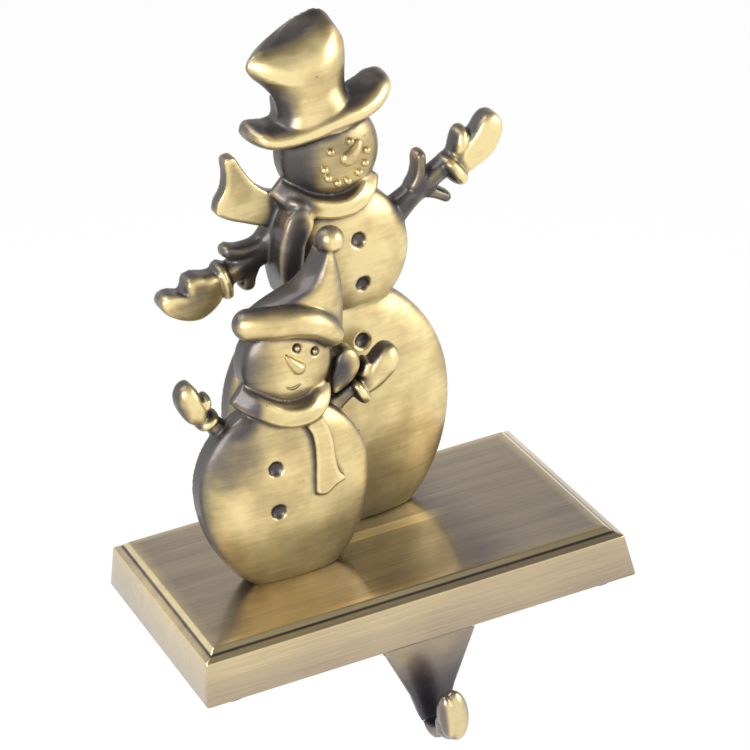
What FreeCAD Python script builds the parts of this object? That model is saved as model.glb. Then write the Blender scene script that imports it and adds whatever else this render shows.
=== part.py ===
import FreeCAD, Part
import math
import os

# Mantel stocking holder: a hollow cast base with a hook under its front edge, and two snowmen
# cast in relief that stand on the base, one behind the other.
# Millimetres, +Z up, +X along the base, -Y towards the room. The origin is the centre of the
# mantel face under the non-slip pads.

# Base casting
BASE_LENGTH = 127.0
BASE_DEPTH = 77.4
SIDE_HEIGHT = 12.0
SIDE_DRAFT = 1.8
LEDGE_WIDTH = 2.5
LEDGE_RISE = 1.0
PANEL_CHAMFER = 1.2
PANEL_RISE = 1.27
BASE_WALL = 3.2
BASE_ROOF = 3.0
CORNER_BOSS_RADIUS = 8.0
HOOK_BOSS_RADIUS = 5.0

# Non-slip pads
PAD_THICKNESS = 2.0
PAD_RADIUS = 6.0
PAD_INSET = 9.0

# Hook
HOOK_X = 0.9
HOOK_ROOT_WIDTH = 28.0
HOOK_TIP_WIDTH = 8.4
HOOK_THICKNESS = 3.0
HOOK_FLANGE_THICKNESS = 1.6
HOOK_FLANGE_LENGTH = 19.0
HOOK_DROP = 20.0
HOOK_THROAT = 9.6
HOOK_TIP_RISE = 9.0
HOOK_TURN_SHARE = 1.25
HOOK_EGG_DEPTH = 0.8
HOOK_SCREW_SPACING = 16.0

# Screws
HOOK_SCREW_RADIUS = 1.2
HOOK_SCREW_HEAD_RADIUS = 2.3
HOOK_SCREW_LENGTH = 9.0
FIGURE_SCREW_RADIUS = 1.5
FIGURE_SCREW_HEAD_RADIUS = 2.8
FIGURE_SCREW_HEAD_HEIGHT = 2.0
FIGURE_SCREW_LENGTH = 10.0
THREAD_CLEARANCE = 0.05
HOLE_CLEARANCE = 0.2

# Large snowman. The chest and the head lean over to the right of the foot by their shifts.
LARGE_X = 1.2
LARGE_BACK = 17.0
LARGE_WALL = 5.0
LARGE_CROWN = 7.0
LARGE_CHEST_CROWN = 6.3
LARGE_BODY_WIDTH = 65.6
LARGE_BODY_DOWN = 42.7
LARGE_BODY_UP = 36.0
LARGE_FOOT_SINK = 7.0
LARGE_CHEST_RADIUS = 20.0
LARGE_WAIST_OVERLAP = 12.0
LARGE_HEAD_RADIUS = 14.1
LARGE_NECK_OVERLAP = 4.3
LARGE_CHEST_SHIFT = 5.2
LARGE_HEAD_SHIFT = 5.4
LARGE_SCREW_SPACING = 18.0

# Small snowman
SMALL_X = -25.0
SMALL_BODY_SHIFT = 0.9
SMALL_BACK = -2.5
SMALL_WALL = 5.5
SMALL_CROWN = 5.5
SMALL_BODY_WIDTH = 48.8
SMALL_BODY_DOWN = 32.5
SMALL_BODY_UP = 24.0
SMALL_FOOT_SINK = 4.5
SMALL_HEAD_RADIUS = 12.8
SMALL_NECK_OVERLAP = 2.3
SMALL_HEAD_SHIFT = 5.5
SMALL_SCREW_SPACING = 12.0

CROWN_FLAT = 0.15
BAR_LEAN = 0.08
BAR_CHAMFER = 0.5
BAR_FLAT = 0.5
BUTTON_RADIUS = 2.25
BUTTON_DEPTH = 1.3
BEAD_RADIUS = 1.15
BEAD_SINK = 0.2
EYE_RADIUS = 1.25
EYE_DEPTH = 0.5
EYE_BEAD_RADIUS = 0.72

base_bottom = PAD_THICKNESS
panel_top = base_bottom + SIDE_HEIGHT + LEDGE_RISE + PANEL_RISE
roof_bottom = panel_top - BASE_ROOF
# half the side of a block that is larger than the whole part
beyond = 2 * BASE_LENGTH


def vec(x, y, z):
    return FreeCAD.Vector(x, y, z)


def rectangle(length, depth, z):
    """A closed rectangular wire, centred on the origin at height z."""
    half_x = length / 2
    half_y = depth / 2
    corners = [vec(-half_x, -half_y, z), vec(half_x, -half_y, z), vec(half_x, half_y, z),
               vec(-half_x, half_y, z)]
    return Part.makePolygon(corners + corners[:1])


def upright(radius, x, y, low, high):
    """A cylinder standing between two heights."""
    return Part.makeCylinder(radius, high - low, vec(x, y, low))


def closed_curve(points, y, scale=1.0, centre=(0.0, 0.0)):
    """A smooth closed wire through x, z points, scaled about a centre, in the plane of one y."""
    nodes = []
    for x, z in points:
        nodes.append(vec(centre[0] + (x - centre[0]) * scale, y, centre[1] + (z - centre[1]) * scale))
    curve = Part.BSplineCurve()
    curve.interpolate(Points=nodes, PeriodicFlag=True)
    return Part.Wire([curve.toShape()])


def slab(points, back, depth):
    """A straight slab with a smooth outline, standing on the back plane."""
    return Part.Face(closed_curve(points, back)).extrude(vec(0, -depth, 0))


def cushion(outline, back, wall, rise, turns=(32, 68)):
    """A cast lobe: a flat back, a straight side wall, and a crowned front, where copies of the outline shrink
    towards its middle as they come forward along a quarter ellipse. Outline is a function of y and scale."""
    rim = back - wall
    wires = [outline(back, 1.0), outline(rim, 1.0)]
    for degrees in turns:
        angle = math.radians(degrees)
        scale = CROWN_FLAT + (1 - CROWN_FLAT) * math.cos(angle)
        wires.append(outline(rim - rise * math.sin(angle), scale))
    return Part.makeLoft(wires, True, True)


def drawn(points, centre):
    """An outline function that shrinks a smooth closed curve towards the centre."""
    return lambda y, scale: closed_curve(points, y, scale, centre)


def round_outline(centre, radius):
    """An outline function for a circle."""
    return lambda y, scale: Part.Wire(Part.makeCircle(radius * scale, vec(centre[0], y, centre[1]),
                                                      vec(0, -1, 0)))


def egg(centre, half_width, down, up):
    """An outline function for two half ellipses that share their widest line."""
    points = []
    for degrees in range(0, 360, 30):
        angle = math.radians(degrees)
        reach = up if degrees < 180 else down
        points.append((centre[0] + half_width * math.cos(angle), centre[1] + reach * math.sin(angle)))
    return drawn(points, centre)


def arch(left, right, back, depth, roundness):
    """A D-shaped wire between two x, z points on the back plane. Its sides lean in a little. Its top is
    an arc whose rise is the given share of the half width, or, with no roundness, a flat between two
    chamfers."""
    middle_x = (left[0] + right[0]) / 2
    middle_z = (left[1] + right[1]) / 2
    half_x = (right[0] - left[0]) / 2
    half_z = (right[1] - left[1]) / 2

    def at(share, height):
        return vec(middle_x + half_x * share, back - height, middle_z + half_z * share)

    rise = min((roundness or BAR_CHAMFER) * math.hypot(half_x, half_z), 0.6 * depth)
    lean = 1 - BAR_LEAN
    shoulders = [at(-lean, depth - rise), at(lean, depth - rise)]
    if roundness:
        top = [Part.Arc(shoulders[0], at(0, depth), shoulders[1]).toShape()]
    else:
        corners = [shoulders[0], at(-BAR_FLAT, depth), at(BAR_FLAT, depth), shoulders[1]]
        top = [Part.makeLine(start, end) for start, end in zip(corners, corners[1:])]
    foot = [at(-1, 0), at(1, 0)]
    return Part.Wire([Part.makeLine(foot[0], shoulders[0])] + top
                     + [Part.makeLine(shoulders[1], foot[1]), Part.makeLine(foot[1], foot[0])])


def rails(stations, back, roundness=0.0):
    """A D-shaped body between two rails. Each station is left x, z, right x, z and depth."""
    wires = []
    for left_x, left_z, right_x, right_z, depth in stations:
        wires.append(arch((left_x, left_z), (right_x, right_z), back, depth, roundness))
    return Part.makeLoft(wires, True, True)


def bar(stations, back, roundness=0.0):
    """A D-shaped bar along a path. Each station is x, z, half width and depth, and its section stands
    square to the line between its neighbours."""
    rows = []
    for k, (x, z, half, depth) in enumerate(stations):
        before = stations[max(k - 1, 0)]
        after = stations[min(k + 1, len(stations) - 1)]
        run = math.hypot(after[0] - before[0], after[1] - before[1])
        side_x = (after[1] - before[1]) / run * half
        side_z = -(after[0] - before[0]) / run * half
        rows.append((x - side_x, z - side_z, x + side_x, z + side_z, depth))
    return rails(rows, back, roundness)


def carried(drawn_ball, real_ball):
    """A function that carries rows of numbers from the drawing to the real figure. Both balls are x, z
    and radius. In each row the first pair or pairs are x and z, and the other numbers are lengths."""
    unit = real_ball[2] / drawn_ball[2]

    def carry(rows, pairs=1):
        result = []
        for row in rows:
            values = [value * unit for value in row]
            for k in range(pairs):
                values[2 * k] += real_ball[0] - drawn_ball[0] * unit
                values[2 * k + 1] += real_ball[1] - drawn_ball[1] * unit
            result.append(tuple(values))
        return result

    carry.unit = unit
    return carry


def fused(shapes):
    """One solid from pieces that run into each other, joined one after another."""
    body = shapes[0]
    for shape in shapes[1:]:
        body = body.fuse(shape)
    return body


def half_space_below(z):
    """A block that takes away everything under one height."""
    return Part.makeBox(2 * beyond, 2 * beyond, beyond, vec(-beyond, -beyond, z - beyond))


def save(shape, name):
    shape.exportStep(os.path.join("parts", name + ".step"))


def make_base():
    """The base: drafted sides, a sloping ledge and a raised panel with a chamfered edge,
    hollow underneath, with bosses for the pads and the hook."""
    top_length = BASE_LENGTH - 2 * SIDE_DRAFT
    top_depth = BASE_DEPTH - 2 * SIDE_DRAFT
    side_top = base_bottom + SIDE_HEIGHT
    foot = 2 * LEDGE_WIDTH
    edge = foot + 2 * PANEL_CHAMFER
    outside = Part.makeLoft([
        rectangle(BASE_LENGTH, BASE_DEPTH, base_bottom),
        rectangle(top_length, top_depth, side_top),
        rectangle(top_length - foot, top_depth - foot, side_top + LEDGE_RISE),
        rectangle(top_length - edge, top_depth - edge, panel_top)], True, True)
    inset = 2 * BASE_WALL
    hollow = Part.makeLoft([
        rectangle(BASE_LENGTH - inset, BASE_DEPTH - inset, base_bottom),
        rectangle(top_length - inset, top_depth - inset, roof_bottom)], True, True)
    for x, y in pad_places():
        hollow = hollow.cut(upright(CORNER_BOSS_RADIUS, x, y, base_bottom - 1, panel_top))
    for x, y in hook_screw_places():
        hollow = hollow.cut(upright(HOOK_BOSS_RADIUS, x, y, base_bottom - 1, panel_top))
    body = outside.cut(hollow)
    for x, y in hook_screw_places():
        radius = HOOK_SCREW_RADIUS + THREAD_CLEARANCE
        body = body.cut(upright(radius, x, y, base_bottom - 1, base_bottom + HOOK_SCREW_LENGTH))
    for x, y in figure_screw_places():
        radius = FIGURE_SCREW_RADIUS + HOLE_CLEARANCE
        body = body.cut(upright(radius, x, y, roof_bottom - 1, panel_top + 1))
    return body


def pad_places():
    x = BASE_LENGTH / 2 - PAD_INSET
    y = BASE_DEPTH / 2 - PAD_INSET
    return [(side * x, front * y) for side in (-1, 1) for front in (-1, 1)]


def hook_screw_places():
    y = -BASE_DEPTH / 2 + HOOK_FLANGE_LENGTH * 0.6
    return [(HOOK_X + side * HOOK_SCREW_SPACING / 2, y) for side in (-1, 1)]


def figure_screw_places():
    places = []
    for x, back, wall, spacing in ((LARGE_X, LARGE_BACK, LARGE_WALL, LARGE_SCREW_SPACING),
                                   (SMALL_X, SMALL_BACK, SMALL_WALL, SMALL_SCREW_SPACING)):
        places.append((x - spacing / 2, back - wall * 0.75))
        places.append((x + spacing / 2, back - wall * 0.75))
    return places


def make_hook():
    """The hook: a flange under the base, a plate that narrows as it drops from the front face,
    and a round throat that comes up to an egg-shaped tip."""
    front = -BASE_DEPTH / 2
    flange_low = base_bottom - HOOK_FLANGE_THICKNESS
    half_root = HOOK_ROOT_WIDTH / 2
    half_tip = HOOK_TIP_WIDTH / 2
    half_turn = half_tip * HOOK_TURN_SHARE
    flange = Part.makeBox(HOOK_ROOT_WIDTH, HOOK_FLANGE_LENGTH, HOOK_FLANGE_THICKNESS,
                          vec(HOOK_X - half_root, front, flange_low))
    turn_z = base_bottom - HOOK_DROP
    inside = HOOK_THROAT / 2
    outside = inside + HOOK_THICKNESS
    middle_y = front - inside
    # the side view of the strip, drawn out over the full width
    x = HOOK_X - half_root
    back_top = vec(x, front + HOOK_THICKNESS, base_bottom)
    front_top = vec(x, front, base_bottom)
    inner = Part.Arc(vec(x, front, turn_z), vec(x, middle_y, turn_z - inside),
                     vec(x, middle_y - inside, turn_z))
    outer = Part.Arc(vec(x, middle_y - outside, turn_z), vec(x, middle_y, turn_z - outside),
                     vec(x, front + HOOK_THICKNESS, turn_z))
    side = Part.Wire([Part.makeLine(back_top, front_top), Part.makeLine(front_top, vec(x, front, turn_z)),
                      inner.toShape(), Part.makeLine(vec(x, middle_y - inside, turn_z),
                                                     vec(x, middle_y - outside, turn_z)),
                      outer.toShape(), Part.makeLine(vec(x, front + HOOK_THICKNESS, turn_z), back_top)])
    strip = Part.Face(side).extrude(vec(HOOK_ROOT_WIDTH, 0, 0))
    # the plate's taper, seen from the front
    bottom = turn_z - outside - HOOK_THICKNESS
    taper = polygon([(HOOK_X - half_root, base_bottom), (HOOK_X + half_root, base_bottom),
                     (HOOK_X + half_turn, turn_z), (HOOK_X + half_turn, bottom),
                     (HOOK_X - half_turn, bottom), (HOOK_X - half_turn, turn_z)], "front", front + outside)
    strip = strip.common(taper.extrude(vec(0, -4 * outside, 0)))
    # the turn's taper, seen from below
    narrowing = polygon([(HOOK_X - half_root, front + HOOK_THICKNESS),
                         (HOOK_X + half_root, front + HOOK_THICKNESS),
                         (HOOK_X + half_root, front), (HOOK_X + half_turn, front), (HOOK_X + half_tip,
                                                                                    middle_y),
                         (HOOK_X + half_tip * 0.86, middle_y - outside), (HOOK_X - half_tip * 0.86,
                                                                          middle_y - outside),
                         (HOOK_X - half_tip, middle_y), (HOOK_X - half_turn, front), (HOOK_X - half_root,
                                                                                      front)],
                        "below", bottom)
    strip = strip.common(narrowing.extrude(vec(0, 0, base_bottom - bottom)))
    # the egg at the tip starts two thicknesses below the turn's centre
    half_height = (HOOK_TIP_RISE + 2 * HOOK_THICKNESS) / 2
    tip_y = middle_y - (inside + outside) / 2 - HOOK_THICKNESS / 10
    oval = egg((HOOK_X, turn_z + HOOK_TIP_RISE - half_height), half_tip, half_height, half_height)
    wires = []
    for degrees in (-72, -45, -15, 15, 45, 72):
        angle = math.radians(degrees)
        wires.append(oval(tip_y - HOOK_THICKNESS * HOOK_EGG_DEPTH * math.sin(angle), math.cos(angle)))
    tip = Part.makeLoft(wires, True, True)
    body = flange.fuse(strip).fuse(tip).removeSplitter()
    for x, y in hook_screw_places():
        body = body.cut(upright(HOOK_SCREW_RADIUS + HOLE_CLEARANCE, x, y, flange_low - 1, base_bottom + 1))
        body = body.cut(Part.makeCone(HOOK_SCREW_HEAD_RADIUS, HOOK_SCREW_RADIUS, HOOK_FLANGE_THICKNESS,
                                      vec(x, y, flange_low)))
    return body


def polygon(corners, view, level):
    """A flat face from its corners: x, z at y = level as seen from the front, or x, y at z = level from
    below."""
    if view == "front":
        points = [vec(x, level, z) for x, z in corners]
    else:
        points = [vec(x, y, level) for x, y in corners]
    return Part.Face(Part.makePolygon(points + points[:1]))


def seated(solid, x):
    """The figure moved from its own axis to its place: its foot's middle is at x, and its foot runs on down
    to the panel, where it is cut flat."""
    solid.translate(vec(x, 0, panel_top))
    return solid.cut(half_space_below(panel_top))


def make_large():
    """The tall snowman: two balls, a round head, a top hat, a knotted scarf with one tail flying,
    and twig arms with mittens."""
    back = LARGE_BACK
    rim = back - LARGE_WALL
    front = rim - LARGE_CROWN
    body_z = LARGE_BODY_DOWN - LARGE_FOOT_SINK
    chest_z = body_z + LARGE_BODY_UP + LARGE_CHEST_RADIUS - LARGE_WAIST_OVERLAP
    head_z = chest_z + LARGE_CHEST_RADIUS + LARGE_HEAD_RADIUS - LARGE_NECK_OVERLAP
    chest = (LARGE_CHEST_SHIFT, chest_z)
    head = (LARGE_HEAD_SHIFT, head_z)
    on_head = carried((5.4, 109.5, 14.1), head + (LARGE_HEAD_RADIUS,))
    on_chest = carried((5.2, 79.7, 20.0), chest + (LARGE_CHEST_RADIUS,))
    pieces = [cushion(egg((0, body_z), LARGE_BODY_WIDTH / 2, LARGE_BODY_DOWN, LARGE_BODY_UP), back,
                      LARGE_WALL, LARGE_CROWN),
              cushion(round_outline(chest, LARGE_CHEST_RADIUS), back, LARGE_WALL, LARGE_CHEST_CROWN),
              cushion(round_outline(head, LARGE_HEAD_RADIUS), back, LARGE_WALL, LARGE_CROWN)]
    pieces += large_scarf(back, on_head) + large_hat(back, on_head) + large_arms(back, on_chest)
    solid = fused(pieces)
    # face: eyes, a smile of small beads and a carrot nose
    beads = on_head([(3.4, 111.9), (9.3, 113.4), (1.2, 107.3), (2.1, 104.6), (4.6, 102.5), (7.6, 102.4),
                     (11.1, 103.8), (13.2, 106.0), (14.0, 109.4)])
    for x, z in beads:
        depth = crown_depth(x - head[0], z - head[1], LARGE_HEAD_RADIUS, rim, LARGE_CROWN)
        solid = solid.fuse(Part.makeSphere(BEAD_RADIUS, vec(x, depth + BEAD_SINK, z)))
    nose = bar(on_head([(6.4, 108.6, 1.2, 1.6), (7.4, 108.5, 2.0, 2.6), (9.4, 109.6, 1.9, 2.8),
                        (11.2, 111.2, 1.4, 2.0), (12.4, 113.0, 0.6, 1.0)]), front + on_head.unit)
    solid = solid.fuse(nose)
    # two buttons on the chest and one on the body
    for x, z in on_chest([(9.0, 84.5), (9.0, 71.4)]):
        level = crown_depth(x - chest[0], z - chest[1], LARGE_CHEST_RADIUS, rim, LARGE_CHEST_CROWN)
        solid = solid.cut(button(x, level, z))
    ((x, z),) = on_chest([(6.9, 54.8)])
    level = crown_depth(2 * x / LARGE_BODY_WIDTH, (z - body_z) / LARGE_BODY_UP, 1.0, rim, LARGE_CROWN)
    solid = solid.cut(button(x, level, z))
    return seated(solid, LARGE_X)


def large_scarf(back, on_head):
    """Collar, knot, the tail that flies to the left and the tail that hangs over the chest."""
    collar = on_head([(-9.6, 102.6, 2.8, 7.0), (-8.0, 100.6, 3.0, 9.8), (-3.2, 97.4, 3.1, 12.6),
                      (1.4, 95.9, 3.0, 13.3), (5.8, 95.4, 3.0, 13.5), (10.4, 96.4, 3.0, 12.7),
                      (14.2, 98.8, 3.0, 10.4), (16.2, 101.4, 2.8, 7.4)])
    knot = on_head([(-10.8, 99.4, 1.8, 8.0), (-7.2, 98.6, 3.0, 12.4), (-3.8, 95.8, 1.9, 12.4)])
    flying = on_head([(-8.0, 99.6), (-15.2, 104.4), (-19.3, 111.0), (-21.4, 114.4), (-23.4, 114.0),
                      (-24.8, 105.6), (-27.2, 102.0), (-27.8, 99.6), (-25.6, 97.6), (-15.6, 93.0),
                      (-8.0, 95.4)])
    hanging = on_head([(-3.6, 94.5), (-6.6, 88.6), (-8.2, 81.6), (-10.6, 74.6), (-13.4, 72.4),
                       (-14.8, 84.4), (-13.3, 91.2), (-6.0, 98.6)])
    unit = on_head.unit
    (middle,) = on_head([(-10.0, 86.5)])
    return [bar(collar, back, 0.5), bar(knot, back, 0.8), slab(flying, back, LARGE_WALL),
            cushion(drawn(hanging, middle), back, 10.6 * unit, 2.4 * unit, (65,))]


def large_hat(back, on_head):
    """Crown, skirt and brim. The crown's back stands higher than its front, so its round top slopes forwards,
    and the brim's ends curl up."""
    far = on_head([(-6.6, 121.0), (-6.6, 125.0), (-7.4, 128.5), (-10.0, 131.8), (-12.6, 135.2),
                   (-12.7, 137.4), (-10.1, 140.4), (-4.0, 144.4), (4.1, 147.8), (9.6, 147.4), (11.8, 143.6),
                   (11.9, 131.0), (11.6, 120.0)])
    near = on_head([(-8.0, 121.0), (-8.0, 125.6), (-9.2, 129.6), (-11.6, 133.2), (-14.8, 136.6),
                    (-15.4, 138.2), (-12.8, 138.2), (-8.0, 138.9), (1.0, 141.6), (8.4, 143.2),
                    (10.7, 140.4), (10.2, 130.0), (10.4, 120.0)])
    unit = on_head.unit
    rim = back - 7.4 * unit
    (centre,) = on_head([(-1.0, 131.0)])
    wires = [closed_curve(far, back), closed_curve(near, rim)]
    for scale, rise in ((0.9, 3.0), (0.55, 4.4)):
        wires.append(closed_curve(near, rim - rise * unit, scale, centre))
    crown = Part.makeLoft(wires, True, True)
    brim = on_head([(-17.0, 122.2, 1.0, 4.6), (-15.4, 119.8, 2.6, 10.6), (-12.0, 118.0, 3.4, 12.4),
                    (-6.0, 118.0, 4.1, 13.6), (2.4, 119.4, 4.5, 13.9), (10.6, 121.0, 4.3, 13.5),
                    (17.0, 122.6, 3.8, 12.4), (21.6, 125.0, 3.3, 10.4), (23.6, 128.0, 1.6, 6.6)])
    skirt = on_head([(2.2, 117.0, 11.5, 13.4), (2.2, 121.4, 11.0, 12.8), (1.8, 125.4, 9.8, 11.8),
                     (1.2, 128.6, 9.2, 11.4)])
    return [crown, bar(skirt, back, 0.3), bar(brim, back, 0.95)]


def large_arms(back, on_chest):
    """On each side a twig with two side twigs, a cuff across it and a mitten with its thumb."""
    bars = [[(-6.0, 92.0, 8.0, 8.0), (-12.0, 87.6, 5.2, 6.4), (-17.6, 84.2, 3.6, 5.5),
             (-28.5, 80.0, 3.2, 5.5)],
            [(-12.6, 88.0, 3.4, 5.8), (-18.0, 86.6, 2.4, 5.4), (-24.0, 87.0, 2.1, 5.2),
             (-27.2, 88.4, 1.0, 3.6)],
            [(-18.8, 84.0, 4.0, 5.4), (-20.6, 79.6, 2.6, 5.2), (-21.2, 76.4, 2.2, 5.0),
             (-21.4, 74.8, 1.2, 3.6)],
            [(-28.9, 85.2, 1.0, 5.0), (-28.4, 82.6, 2.2, 7.6), (-27.6, 77.2, 2.2, 7.6),
             (-27.2, 74.4, 1.0, 5.0)],
            [(15.0, 82.5, 6.4, 8.0), (22.4, 85.8, 4.2, 6.4), (27.6, 89.0, 3.2, 5.8), (39.0, 95.4, 2.9, 5.6),
             (46.0, 98.8, 3.4, 5.2)],
            [(28.4, 89.8, 3.0, 5.6), (31.0, 95.0, 2.0, 5.4), (32.0, 100.4, 1.9, 5.0),
             (32.2, 102.2, 1.0, 3.6)],
            [(30.6, 91.2, 2.8, 5.4), (35.0, 89.0, 1.9, 5.2), (38.6, 86.6, 1.6, 5.0),
             (39.8, 85.8, 0.8, 3.6)],
            [(38.4, 98.4, 1.0, 5.0), (39.8, 96.3, 2.2, 7.6), (42.6, 92.1, 2.2, 7.6),
             (44.0, 89.9, 1.0, 5.0)],
            [(42.8, 97.0, 2.6, 5.4), (43.8, 101.4, 2.5, 6.4), (45.0, 104.6, 2.2, 5.4),
             (45.4, 105.8, 1.2, 3.6)]]
    left = on_chest([(-29.4, 75.6), (-36.0, 71.4), (-43.4, 73.6), (-46.9, 78.8), (-45.6, 80.5),
                     (-43.0, 80.8), (-39.8, 80.2), (-39.0, 82.8), (-36.4, 84.2), (-29.6, 82.9)])
    right = on_chest([(44.4, 93.2), (52.0, 96.6), (55.9, 103.0), (55.5, 106.2), (53.8, 107.9),
                      (51.6, 107.6), (47.8, 103.2), (42.6, 97.4)])
    pieces = []
    for stations in bars:
        pieces.append(bar(on_chest(stations), back))
    unit = on_chest.unit
    middles = on_chest([(-36.6, 77.2), (49.4, 100.6)])
    for outline, middle in zip((left, right), middles):
        pieces.append(cushion(drawn(outline, middle), back, 3.4 * unit, 3.8 * unit, (65,)))
    return pieces


def crown_depth(x, z, radius, rim, rise):
    """The y of the surface of a round crown at an offset from its centre."""
    share = min(1.0, (x * x + z * z) / radius ** 2)
    return rim - rise * math.sqrt(1 - share)


def button(x, y, z):
    """A round dished recess."""
    dish = (BUTTON_RADIUS ** 2 + BUTTON_DEPTH ** 2) / (2 * BUTTON_DEPTH)
    return Part.makeSphere(dish, vec(x, y + BUTTON_DEPTH - dish, z))


def make_small():
    """The short snowman: a body ball, a round head, a stocking cap with a pompom, a scarf with
    one hanging end, and twig arms with mittens."""
    back = SMALL_BACK
    rim = back - SMALL_WALL
    front = rim - SMALL_CROWN
    body_z = SMALL_BODY_DOWN - SMALL_FOOT_SINK
    head = (SMALL_HEAD_SHIFT, body_z + SMALL_BODY_UP + SMALL_HEAD_RADIUS - SMALL_NECK_OVERLAP)
    on_head = carried((5.5, 62.5, 12.8), head + (SMALL_HEAD_RADIUS,))
    on_body = carried((0.9, 28.0, 24.4), (SMALL_BODY_SHIFT, body_z, SMALL_BODY_WIDTH / 2))
    body = egg((SMALL_BODY_SHIFT, body_z), SMALL_BODY_WIDTH / 2, SMALL_BODY_DOWN, SMALL_BODY_UP)
    pieces = [cushion(body, back, SMALL_WALL, SMALL_CROWN),
              cushion(round_outline(head, SMALL_HEAD_RADIUS), back, SMALL_WALL, SMALL_CROWN)]
    pieces += small_scarf(back, on_head) + small_cap(back, on_head) + small_arms(back, on_body)
    solid = fused(pieces)
    nose = bar(on_head([(7.7, 59.8, 1.2, 1.6), (7.2, 61.0, 2.3, 2.6), (5.4, 64.0, 1.8, 2.6),
                        (3.8, 66.4, 1.0, 1.6), (2.6, 68.0, 0.5, 0.8)]), front + on_head.unit)
    solid = solid.fuse(nose)
    for x, z in on_head([(7.4, 67.9), (12.4, 65.4)]):
        depth = crown_depth(x - head[0], z - head[1], SMALL_HEAD_RADIUS, rim, SMALL_CROWN)
        groove = Part.makeCylinder(EYE_RADIUS, 2 * EYE_DEPTH, vec(x, depth - EYE_DEPTH, z), vec(0, 1, 0))
        bead = Part.makeSphere(EYE_BEAD_RADIUS, vec(x, depth + EYE_DEPTH / 2, z))
        solid = solid.cut(groove).fuse(bead)
    for x, z in on_body([(-2.6, 34.8), (-3.3, 22.1)]):
        share_x = 2 * (x - SMALL_BODY_SHIFT) / SMALL_BODY_WIDTH
        share_z = (z - body_z) / (SMALL_BODY_UP if z > body_z else SMALL_BODY_DOWN)
        solid = solid.cut(button(x, crown_depth(share_x, share_z, 1.0, rim, SMALL_CROWN), z))
    return seated(solid, SMALL_X)


def small_scarf(back, on_head):
    """Collar, the tail that hangs over the body and the short end behind the head."""
    collar = on_head([(-9.4, 57.6, 3.3, 6.9), (-7.0, 55.2, 3.5, 9.9), (-3.6, 52.4, 3.6, 12.3),
                      (0.6, 50.2, 3.6, 13.3),
                    (5.6, 49.0, 3.6, 13.7), (10.0, 49.8, 3.5, 13.3), (13.0, 52.4, 3.2, 11.1), (14.4, 55.2,
                                                                                               2.8, 7.9)])
    tail = on_head([(7.0, 47.0), (8.4, 40.0), (7.8, 28.6), (7.9, 24.6), (10.4, 24.0), (16.3, 27.0),
                    (14.1, 34.0), (12.6, 45.0)])
    end = on_head([(20.6, 60.0), (24.6, 60.6), (26.4, 55.1), (21.2, 50.0), (17.4, 52.0)])
    unit = on_head.unit
    (middle,) = on_head([(21.6, 55.6)])
    return [bar(collar, back, 0.6), slab(tail, back, 12.1 * unit),
            cushion(drawn(end, middle), back, 4.5 * unit, 2.0 * unit, (65,))]


def small_cap(back, on_head):
    """A cone that folds over to the right, a rolled edge and a pompom."""
    cone = on_head([(-4.0, 72.0, 23.6, 64.0, 9.5), (-3.2, 76.6, 24.2, 70.0, 10.1),
                    (2.0, 79.6, 24.6, 75.0, 10.3), (7.0, 81.4, 24.6, 79.4, 9.9),
                    (11.5, 83.0, 24.4, 83.2, 9.3), (14.8, 85.4, 23.9, 86.2, 8.7),
                    (18.6, 91.0, 22.6, 91.4, 7.9)], 2)
    roll = on_head([(-8.2, 76.8, 1.2, 4.0), (-6.8, 76.9, 3.0, 6.6), (-3.6, 77.0, 3.8, 8.8),
                    (3.6, 76.0, 4.0, 10.6),
                  (8.6, 75.2, 4.0, 10.9), (13.4, 73.2, 3.9, 10.6), (17.2, 69.6, 3.5, 9.2), (20.0, 66.0,
                                                                                            1.4, 6.0)])
    unit = on_head.unit
    ((pompom_x, pompom_z),) = on_head([(21.9, 93.5)])
    pompom = Part.makeSphere(3.9 * unit, vec(pompom_x, back - 5.1 * unit, pompom_z))
    return [rails(cone, back, 0.45), bar(roll, back - 3.0 * unit, 1.0), pompom]


def small_arms(back, on_body):
    """On each side a short twig, a cuff and a mitten with its thumb."""
    bars = [[(-11.0, 42.0, 4.4, 3.5), (-14.6, 47.2, 2.7, 3.9), (-17.8, 52.0, 2.4, 4.1)],
            [(-20.6, 50.2, 0.8, 3.6), (-19.2, 51.0, 1.6, 5.4), (-16.4, 52.3, 1.6, 5.4),
             (-15.0, 52.8, 0.8, 3.6)],
            [(-18.0, 53.6, 1.7, 4.9), (-17.2, 56.0, 1.6, 5.5), (-17.0, 58.2, 0.8, 3.6)],
            [(15.0, 42.0, 4.4, 3.5), (20.6, 45.6, 2.7, 3.9), (26.0, 48.8, 2.3, 4.1)],
            [(23.9, 50.4, 0.8, 3.6), (24.6, 49.0, 1.6, 5.4), (25.9, 46.4, 1.6, 5.4),
             (26.7, 45.0, 0.8, 3.6)],
            [(26.8, 50.6, 1.6, 4.9), (28.4, 53.4, 1.5, 5.5), (29.4, 55.6, 0.8, 3.6)]]
    left = on_body([(-19.6, 51.4), (-24.6, 55.6), (-25.2, 59.6), (-21.3, 62.9), (-18.2, 57.4),
                    (-17.2, 54.0)])
    right = on_body([(27.0, 47.0), (26.4, 50.6), (31.2, 56.4), (36.2, 57.4), (37.4, 54.8), (33.2, 49.8)])
    pieces = []
    for stations in bars:
        pieces.append(bar(on_body(stations), back))
    unit = on_body.unit
    middles = on_body([(-21.0, 57.4), (31.8, 52.6)])
    for outline, middle in zip((left, right), middles):
        pieces.append(cushion(drawn(outline, middle), back, 2.6 * unit, 3.6 * unit, (65,)))
    return pieces


def drill_feet(figure, places):
    for x, y in places:
        hole = upright(FIGURE_SCREW_RADIUS + THREAD_CLEARANCE, x, y, panel_top - 1,
                       roof_bottom + FIGURE_SCREW_LENGTH + 1)
        figure = figure.cut(hole)
    return figure


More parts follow.
